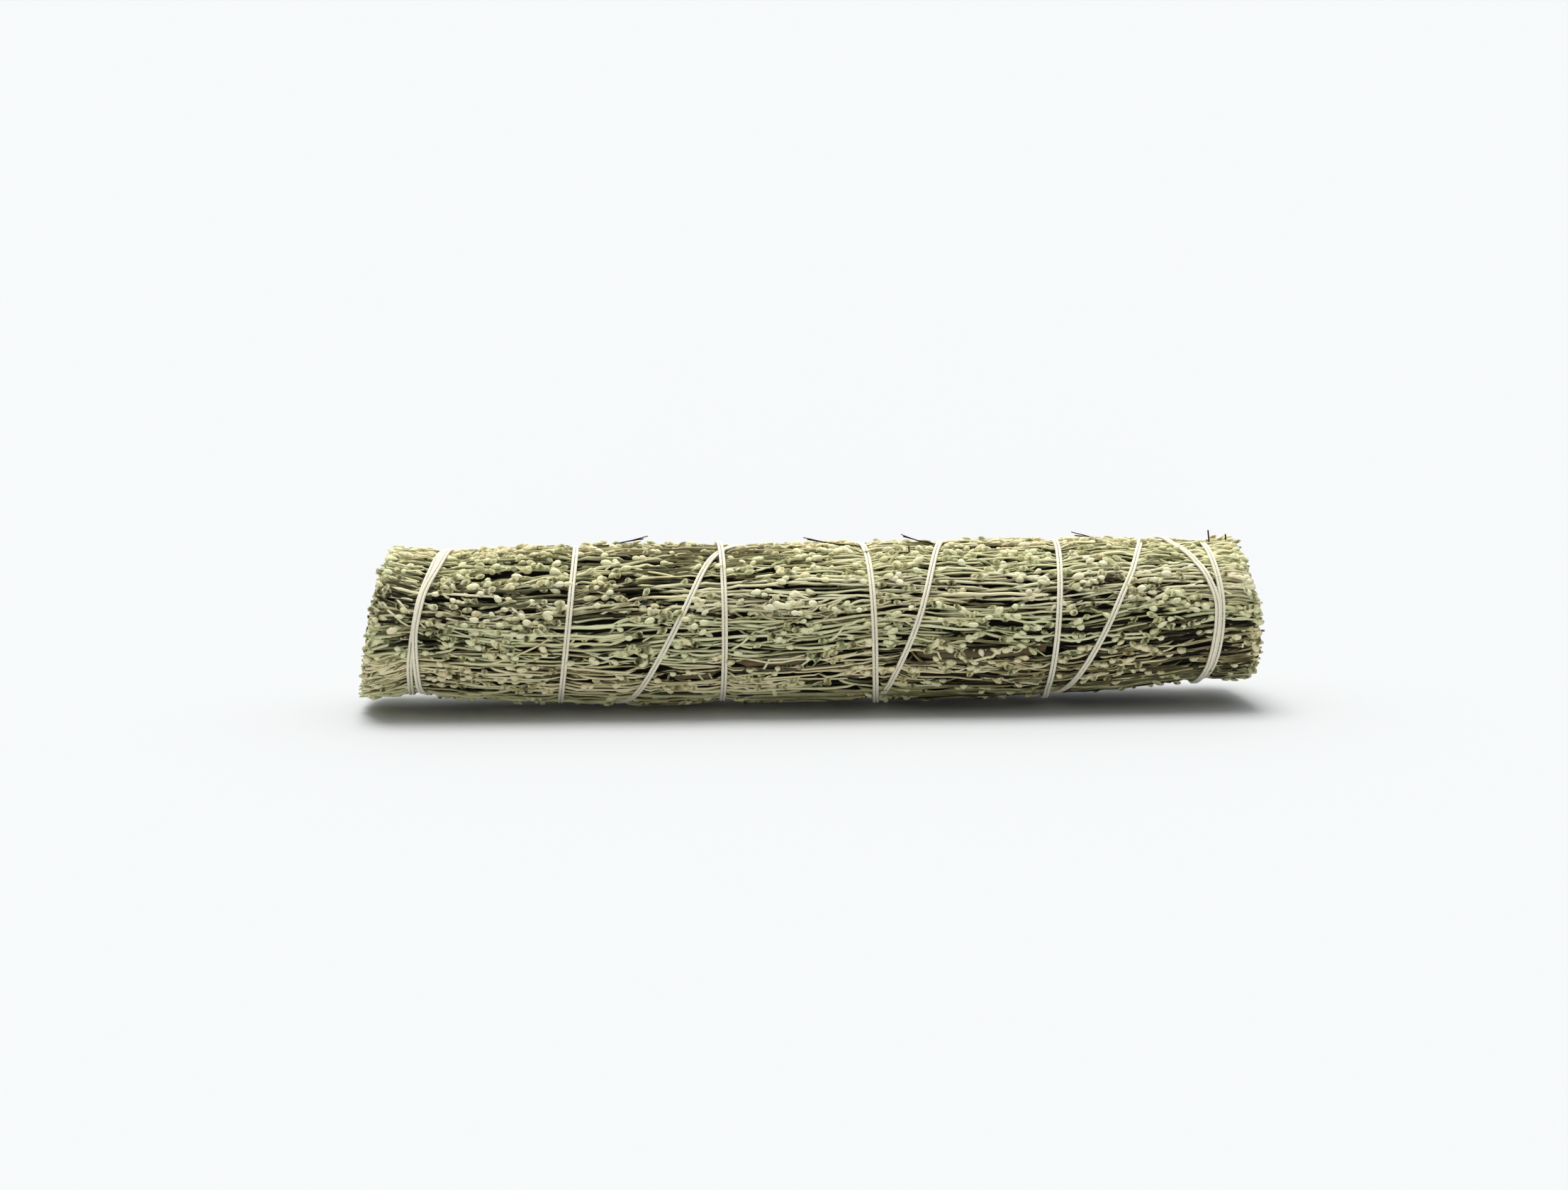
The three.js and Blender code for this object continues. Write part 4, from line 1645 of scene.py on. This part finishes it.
    def upright(self, x: float, angle: float, height: float) -> None:
        """Stands a dark stub on the outside of the bundle.

        Args:
            x: position along the bundle.
            angle: direction round it, in degrees.
            height: how far it stands up.
        """
        base = self.bundle.point(x, angle, self.bundle.coat - 0.8)
        size = Vector((self.stray_radius, self.stray_radius, height))
        leaning = self.bundle.out(angle) + Vector((-0.12, 0.0, 0.0))
        self.thicket.stand(self.shapes.stub, base, leaning, size, 0.0, 0.15)

    def loose_bud(self, x: float, angle: float) -> None:
        """Hangs a loose bud under the bundle."""
        base = self.bundle.point(x, angle, self.bundle.coat - 1.0)
        self.bud(base, Vector((0.6, -0.5, -0.5)), x, angle, 1.0)

    def add_own(self, add: Callable[..., None], spots: Sequence[tuple], *others: float) -> None:
        """Adds what lies in this sprig's part of the ring.

        Args:
            add: the method that adds one.
            spots: what it takes for each one, the angle second.
            others: what it takes besides, the same for all.
        """
        for spot in spots:
            if self.owns(spot[1]):
                add(*spot, *others)

    def build(self) -> bpy.types.Object:
        """Builds the whole sprig and returns the finished piece."""
        twigs, loose, leaves, widest_gap = self.growth.value
        self.long_stems()
        self.lane_stems(self.lower_lanes, self.lower_gap, 0.5)
        self.lane_stems(self.upper_lanes, (self.least_upper_gap, widest_gap), 0.0)
        for add, count in ((self.loose_stem, loose), (self.leaf, leaves), (self.twig, twigs)):
            for i in range(count):
                add(i)
        for end in (self.bundle.left, self.bundle.right):
            self.brush(end)
        self.add_own(self.crossing_stem, CROSSING_STEMS)
        self.add_own(self.blade, BROAD_LEAVES, self.bundle.coat - 0.6, self.broad_tone)
        self.add_own(self.loose_bud, LOOSE_BUDS)
        self.press_in()
        self.add_own(self.stray, STRAY_TWIGS)
        self.add_own(self.upright, UPRIGHT_STUBS)
        return super().build()


@dataclass
class WoodySticks:
    """The thick stem at the heart of the bundle and the woody stems that show on it."""

    bundle: Bundle
    heart_radius: float = 2.3
    sink: float = -0.15
    dive: float = 1.4
    slimmer: float = 0.92
    furrow: float = 0.16
    grain_along: float = 0.22
    grain_across: float = 1.6
    sides: int = 22
    heart_rings: int = 90
    woody_rings: int = 40
    pith: tuple[tuple[float, float], ...] = ((0.25, 0.15), (0.45, 0.9))

    def gnarl(self, spot: Vector) -> float:
        """How far bark swells or splits at a point, as a share of the stem's radius."""
        along, across = self.grain_along, self.grain_across
        lengthwise = Vector((spot.x * along, spot.y * across, spot.z * across))
        return 1 + self.furrow * (noise.noise(lengthwise) + 0.6 * noise.noise(spot * 0.5) - 0.4)

    def stick(
        self, name: str, rings: int, place: Callable[[float, float, float], Vector], tone: float
    ) -> bpy.types.Object:
        """Makes a stick with furrowed bark and cut ends that show their pith.

        Args:
            name: the piece's name.
            rings: how many stretches it has along its length.
            place: finds the point for a place across, outward and along the stick.
            tone: where its colour lies between dark and light.

        Returns:
            The finished piece.
        """
        thicket = Thicket()
        for vertex in thicket.copy_of(stem_template(self.sides, rings).mesh, tone):
            u, v, w = vertex.co
            spot = place(u, v, w)
            middle = place(0.0, 0.0, w)
            vertex.co = middle + (spot - middle) * self.gnarl(spot)
        caps = [face for face in thicket.bm.faces if face.material_index == Part.CUT.value]
        for thickness, pith_tone in self.pith:
            bmesh.ops.inset_region(
                thicket.bm, faces=caps, thickness=thickness, depth=-0.05, use_even_offset=True
            )
            for vertex in {v for face in caps for v in face.verts}:
                vertex[thicket.tone_layer] = pith_tone
        return thicket.finish(name)

    def heart(self) -> bpy.types.Object:
        """Makes the heart stem, cut off level with the rest."""
        low, high = self.bundle.left.reach, self.bundle.right.reach

        def place(u: float, v: float, w: float) -> Vector:
            """The point for a place across, up and along the stem."""
            x = low + (high - low) * w
            return Vector((x, u * self.heart_radius, self.bundle.height(x) + v * self.heart_radius))

        return self.stick("heart_wood", self.heart_rings, place, 0.5)

    def woody(self, number: int) -> bpy.types.Object:
        """Makes one of the woody stems that lie among the twigs.

        Args:
            number: which one, from 1.

        Returns:
            The finished piece.
        """
        start, stop, angle, radius = WOODY_STEMS[number - 1]

        def place(u: float, v: float, w: float) -> Vector:
            """Finds the point for a place on the stem, both of whose ends dip.

            Args:
                u: place across the stem, from -1 to 1.
                v: place outward, from -1 to 1.
                w: place along the stem, from 0 to 1.

            Returns:
                The point, in millimetres.
            """
            x = start + (stop - start) * w
            half = radius * self.slimmer
            turn = angle + self.bundle.sway(x) + math.degrees(u * half / self.bundle.core(x))
            shown = smoothstep(w, 0.0, 0.15) * smoothstep(1 - w, 0.0, 0.15)
            return self.bundle.point(x, turn, self.sink - self.dive * (1 - shown) + v * half)

        return self.stick(f"woody_sage_stem_{number}", self.woody_rings, place, 0.45)


@dataclass
class CottonString:
    """The doubled string: twisted strands side by side, and the knot that ties their ends."""

    path: StringPath
    sides: int = 9
    plies: int = 3
    ply_depth: float = 0.22
    step: float = 0.4
    lay: float = 2.0
    tone: float = 1.0
    groove_shade: float = 0.2
    repeat: int = 16
    route_samples: int = 1500
    knot_size: float = 1.15
    tail_length: float = 6.0
    tail_spread: tuple[float, float] = (-0.4, 2.4)
    tail_samples: int = 20
    knot_samples: int = 160
    rejoined_after: float = 22.0

    def rope(self, steps: int) -> bpy.types.Mesh:
        """Makes a straight strand of twisted plies, with one unit of z for each step.

        Args:
            steps: how many steps it has, a multiple of the short length that is repeated.

        Returns:
            Its mesh, of radius 1.
        """
        twist = 2 * math.pi * self.step / self.lay
        bm = bmesh.new()
        bmesh.ops.create_circle(bm, cap_ends=False, segments=self.sides, radius=1)
        for vertex in bm.verts:
            turn = math.atan2(vertex.co.y, vertex.co.x)
            vertex.co *= 1 - self.ply_depth * (0.5 + 0.5 * math.cos(self.plies * turn))
        bmesh.ops.spin(
            bm,
            geom=list(bm.verts) + list(bm.edges),
            cent=(0, 0, 0),
            axis=(0, 0, 1),
            dvec=(0, 0, 1),
            angle=twist * self.repeat,
            steps=self.repeat,
            use_merge=False,
            use_duplicate=False,
        )
        for face in bm.faces:
            face.smooth = True
        short = kept_mesh(bm, "short_rope")
        joined = Thicket()
        for begin in range(0, steps, self.repeat):
            added = joined.copy_of(short, 0.0)
            turned = Matrix.Rotation(twist * begin, 3, "Z")
            bmesh.ops.rotate(joined.bm, cent=(0, 0, 0), matrix=turned, verts=added)
            bmesh.ops.translate(joined.bm, vec=(0, 0, begin), verts=added)
        bpy.data.meshes.remove(short)
        bmesh.ops.remove_doubles(joined.bm, verts=joined.bm.verts, dist=0.01)
        open_edges = [edge for edge in joined.bm.edges if edge.is_boundary]
        bmesh.ops.holes_fill(joined.bm, edges=open_edges, sides=0)
        return kept_mesh(joined.bm, "rope")

    def lay_rope(self, thicket: Thicket, line: Line, radius: float, tone: float) -> None:
        """Bends a strand along a line.

        Args:
            thicket: the mesh that it is added to.
            line: the centre line, with a point for each step.
            radius: the strand's radius.
            tone: where its colour lies between dark and light.
        """
        steps = len(line.points) - 1
        rope = self.rope(steps)
        frames = []
        for i in range(steps + 1):
            _, across, out = line.axes(i)
            frames.append((line.points[i], across * radius, out * radius))
        for vertex in thicket.copy_of(rope, tone):
            u, v, w = vertex.co
            groove = (1 - math.hypot(u, v)) / self.ply_depth
            vertex[thicket.tone_layer] = tone - self.groove_shade * groove
            point, wide, deep = frames[min(max(round(w), 0), steps)]
            vertex.co = point + wide * u + deep * v
        bpy.data.meshes.remove(rope)

    def evenly(self, points: list[Vector], outs: list[Vector]) -> Line:
        """Spaces the points of a line evenly, a step apart.

        Args:
            points: its points, close together.
            outs: the outward direction at each.

        Returns:
            The new line.
        """
        spans = [(b - a).length for a, b in zip(points, points[1:])]
        steps = self.repeat * max(1, round(sum(spans) / self.step / self.repeat))
        even = sum(spans) / steps
        line = Line([points[0]], [outs[0]])
        gone = 0.0
        for i, span in enumerate(spans):
            while len(line.points) <= steps and gone + span >= even * len(line.points) - 1e-6:
                t = min((even * len(line.points) - gone) / span, 1.0)
                line.points.append(points[i].lerp(points[i + 1], t))
                line.outs.append(outs[i].lerp(outs[i + 1], t).normalized())
            gone += span
        return line

    def strand(self, name: str, side: int) -> bpy.types.Object:
        """Makes one of the two strands.

        Args:
            name: the piece's name.
            side: -1 or 1, the side of the string that it is on.

        Returns:
            The finished piece.
        """
        path = self.path
        count = self.route_samples
        turns = [path.first + (path.last - path.first) * i / count for i in range(count + 1)]
        centres = [path.centre(n, path.lift(n)) for n in turns]
        outs = [path.bundle.out(path.angle(n)) for n in turns]
        points = []
        for i, centre in enumerate(centres):
            along = centres[min(i + 1, count)] - centres[max(i - 1, 0)]
            across = outs[i].cross(along).normalized()
            apart = 0.97 + 0.06 * noise.noise(Vector((turns[i] * 2.1, 0.0, 0.0)))
            points.append(centre + across * side * path.strand_radius * apart)
        thicket = Thicket()
        self.lay_rope(thicket, self.evenly(points, outs), path.strand_radius, self.tone)
        return thicket.finish(name)

    def knot(self) -> bpy.types.Object:
        """Makes the knot behind the bundle, with two short tails."""
        path = self.path
        bundle = path.bundle
        middle = (path.angle(path.last) + path.angle(path.first + self.rejoined_after)) / 2
        x0 = (path.x_at(path.last) + path.x_at(path.first)) / 2
        above = path.float_above + self.knot_size / 2 + path.strand_radius

        def lie(across: float, along: float, out: float) -> tuple[Vector, Vector]:
            """A point of the knot behind the bundle, and the outward direction there."""
            turn = middle + math.degrees(along / (bundle.core(x0) + above))
            return bundle.point(x0 + across, turn, above + out), bundle.out(turn)

        trefoil = []
        for i in range(self.knot_samples + 1):
            u = 4 * math.pi * i / self.knot_samples
            wide = self.knot_size * (2 + math.cos(1.5 * u)) / 2
            rise = self.knot_size * math.sin(1.5 * u) / 2
            trefoil.append((wide * math.cos(u), wide * math.sin(u), rise))
        routes = [trefoil]
        shares = [i / self.tail_samples for i in range(self.tail_samples + 1)]
        for spread in self.tail_spread:
            tail = [(spread * math.sqrt(t), 0.6 + self.tail_length * t, -0.3 * t) for t in shares]
            routes.append(tail)
        thicket = Thicket()
        for route in routes:
            laid = [lie(*spot) for spot in route]
            line = self.evenly([point for point, _ in laid], [out for _, out in laid])
            self.lay_rope(thicket, line, path.strand_radius, self.tone)
        return thicket.finish("cotton_knot")


@dataclass(frozen=True)
class Studio:
    """The plain pale floor, the soft light and the camera."""

    lens: float = 80.3
    distance: float = 860.0
    elevation: float = 10.0
    yaw: float = 3.5
    aim: tuple[float, float, float] = (-6.7, 0.0, 27.0)
    floor_reach: float = 30.0
    floor_colour: Colour = (0.562, 0.572, 0.58)
    sky_strength: float = 1.55
    sky_brightest: tuple[float, float, float] = (0.0, 0.4, 0.917)
    sky_greys: tuple[Station, ...] = ((0.0, 0.04), (0.4, 0.12), (0.7, 0.45), (0.9, 1.0), (1.0, 1.4))
    sky_colour: Colour = (0.975, 1.0, 1.02)
    lamp_colour: Colour = (1.0, 0.98, 0.95)
    softbox: tuple[float, float] = (2.68, 34.0)
    softbox_from: tuple[float, float, float] = (-0.1, 0.22, 1.0)
    fill: tuple[float, float] = (0.6, 12.0)
    fill_from: tuple[float, float, float] = (-0.1, -1.0, 0.12)

    def camera(self) -> None:
        """Sets the camera at the photograph's viewing angle."""
        climb, turn = math.radians(self.elevation), math.radians(self.yaw)
        level = self.distance * math.cos(climb)
        height = self.distance * math.sin(climb)
        away = Vector((-level * math.sin(turn), -level * math.cos(turn), height))
        data = bpy.data.cameras.new("camera")
        data.lens = self.lens
        data.clip_end = 100
        camera = placed("camera", data)
        camera.location = (Vector(self.aim) + away) * MM
        camera.rotation_euler = (-away).to_track_quat("-Z", "Y").to_euler()
        bpy.context.scene.camera = camera

    def floor(self) -> None:
        """Lays the floor."""
        bm = bmesh.new()
        bmesh.ops.create_grid(bm, x_segments=1, y_segments=1, size=self.floor_reach)
        floor = placed("floor", kept_mesh(bm, "floor"))
        material = bpy.data.materials.new("pale_floor")
        material.use_nodes = True
        surface = material.node_tree.nodes["Principled BSDF"]
        surface.inputs["Base Color"].default_value = (*self.floor_colour, 1)
        surface.inputs["Roughness"].default_value = 1.0
        surface.inputs["Specular IOR Level"].default_value = 0.0
        floor.data.materials.append(material)

    def light(self) -> None:
        """Lights the scene from a soft sky that is brightest overhead."""
        scene = bpy.context.scene
        scene.view_settings.view_transform = "Standard"
        world = bpy.data.worlds.new("surround")
        world.use_nodes = True
        scene.world = world
        tree = world.node_tree
        shader = Shader(tree)
        direction = shader.node("ShaderNodeTexCoord").outputs["Generated"]
        toward_brightest = shader.node(
            "ShaderNodeVectorMath", {0: direction, 1: self.sky_brightest}, operation="DOT_PRODUCT"
        )
        stops = [(share, tuple(grey * c for c in self.sky_colour)) for share, grey in self.sky_greys]
        sky = shader.ramp(toward_brightest.outputs["Value"], stops)
        background = tree.nodes["Background"]
        tree.links.new(sky, background.inputs["Color"])
        background.inputs["Strength"].default_value = self.sky_strength
        self.lamp("overhead_softbox", self.softbox, self.softbox_from)
        self.lamp("front_fill", self.fill, self.fill_from)

    def lamp(
        self, name: str, strength_and_angle: tuple[float, float], source: tuple[float, float, float]
    ) -> None:
        """Adds a broad soft light.

        Args:
            name: its name.
            strength_and_angle: its strength, and how wide it looks, in degrees.
            source: the direction that it comes from.
        """
        lamp = bpy.data.lights.new(name, "SUN")
        strength, width = strength_and_angle
        lamp.energy = strength
        lamp.angle = math.radians(width)
        lamp.color = self.lamp_colour
        placed(name, lamp).rotation_euler = (-Vector(source)).to_track_quat("-Z", "Y").to_euler()


def dress(
    piece: bpy.types.Object, materials: Sequence[bpy.types.Material], slot: str, *nodes: str
) -> None:
    """Gives a piece its materials and ties it to the frame.

    Args:
        piece: the finished piece.
        materials: its materials, in slot order.
        slot: the record's material slot; not used.
        nodes: the CAD nodes that it stands for.
    """
    for material in materials:
        piece.data.materials.append(material)
    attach(piece, BODY)
    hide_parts(*nodes)
    triangles = sum(len(polygon.vertices) - 2 for polygon in piece.data.polygons)
    log.info("%s: %d triangles, stands for %s", piece.name, triangles, ", ".join(nodes))


def main() -> None:
    """Builds the sprigs, the stems, the string and the studio."""
    logging.basicConfig(level=logging.INFO)
    bundle = Bundle()
    string = StringPath(bundle)
    shapes = Shapes()
    fibre = fibre_group()
    # The near-black first stops are painted shade: the tone reaches them where shade is painted in among
    # the stems.
    stem_colours = ((0.008, 0.006, 0.002), (0.155, 0.143, 0.07), (0.5, 0.475, 0.275), (0.83, 0.79, 0.54))
    bud_colours = ((0.01, 0.008, 0.003), (0.21, 0.2, 0.097), (0.545, 0.52, 0.3), (0.84, 0.8, 0.555))
    leaf_colours = ((0.012, 0.012, 0.005), (0.18, 0.18, 0.086), (0.43, 0.43, 0.24), (0.69, 0.665, 0.42))
    cut_colours = ((0.16, 0.13, 0.065), (0.34, 0.3, 0.18), (0.49, 0.44, 0.29))
    # Painted shade: the packed core is near black, so that the gaps between the stems read as deep shade.
    packed_shade_colours = ((0.006, 0.005, 0.002), (0.03, 0.027, 0.012))
    wood_colours = ((0.055, 0.04, 0.02), (0.18, 0.14, 0.075), (0.34, 0.29, 0.18))
    cut = PlantFinish("cut_stem", cut_colours).build(fibre)
    packed = PlantFinish("packed_stems", packed_shade_colours).build(fibre)
    sage = {}
    for tint in Tint:
        name = tint.value[0]
        stem = PlantFinish(f"{name}_stem", tint.colours(stem_colours))
        bud = PlantFinish(f"{name}_bud", tint.colours(bud_colours), scales=1300.0)
        leaf = PlantFinish(f"{name}_leaf", tint.colours(leaf_colours), sheen=0.25)
        sage[name] = [stem.build(fibre), bud.build(fibre), leaf.build(fibre), cut, packed]
    growths = (
        Growth.BARE, Growth.BARE, Growth.MIXED, Growth.BUDDED, Growth.BUDDED, Growth.BUDDED,
        Growth.BUDDED, Growth.MIXED, Growth.BUDDED, Growth.MIXED, Growth.MIXED, Growth.BARE,
    )
    slots = list(sage)
    sprigs = [OuterSprig(n, bundle, string, shapes, growth=g) for n, g in enumerate(growths, start=1)]
    for sprig in sprigs:
        if sprig.growth is Growth.BARE:
            sprig.stem_length = (30.0, 60.0)
            sprig.stoutness = 1.4
    sprigs += [Sprig(n, bundle, string, shapes) for n in range(1, 7)]
    for sprig in sprigs:
        slot = slots[(sprig.number - 1) % len(slots)]
        dress(sprig.build(), sage[slot], slot, f"{sprig.node}_{sprig.number:02d}")
    bark = PlantFinish(
        "woody_bark",
        ((0.024, 0.018, 0.008), (0.12, 0.096, 0.052), (0.29, 0.24, 0.145)),
        along=120.0,
        across=1500.0,
        relief=0.0003,
        warm=None,
        stain=(0.21, 0.115, 0.055),
    ).build(fibre)
    heartwood = PlantFinish("heart_wood", wood_colours).build(fibre)
    wood = [bark, bark, bark, heartwood]
    sticks = WoodySticks(bundle)
    dress(sticks.heart(), wood, "cut_wood", "heart_stem")
    for number in range(1, len(WOODY_STEMS) + 1):
        dress(sticks.woody(number), wood, "bark", f"woody_stem_{number}")
    cotton = PlantFinish(
        "undyed_cotton",
        ((0.36, 0.3, 0.16), (0.76, 0.7, 0.48), (0.94, 0.9, 0.73)),
        streak=0.3,
        along=2500.0,
        across=2500.0,
        patch=400.0,
        relief=0.00008,
        sheen=0.3,
        warm=None,
    ).build(fibre)
    cord = CottonString(string)
    for name, side in (("cotton_strand_a", -1), ("cotton_strand_b", 1)):
        dress(cord.strand(name, side), [cotton], "cotton_string", "string")
    dress(cord.knot(), [cotton], "cotton_string", "string_knot")
    studio = Studio()
    studio.floor()
    studio.light()
    studio.camera()


if __name__ == "__main__":
    main()
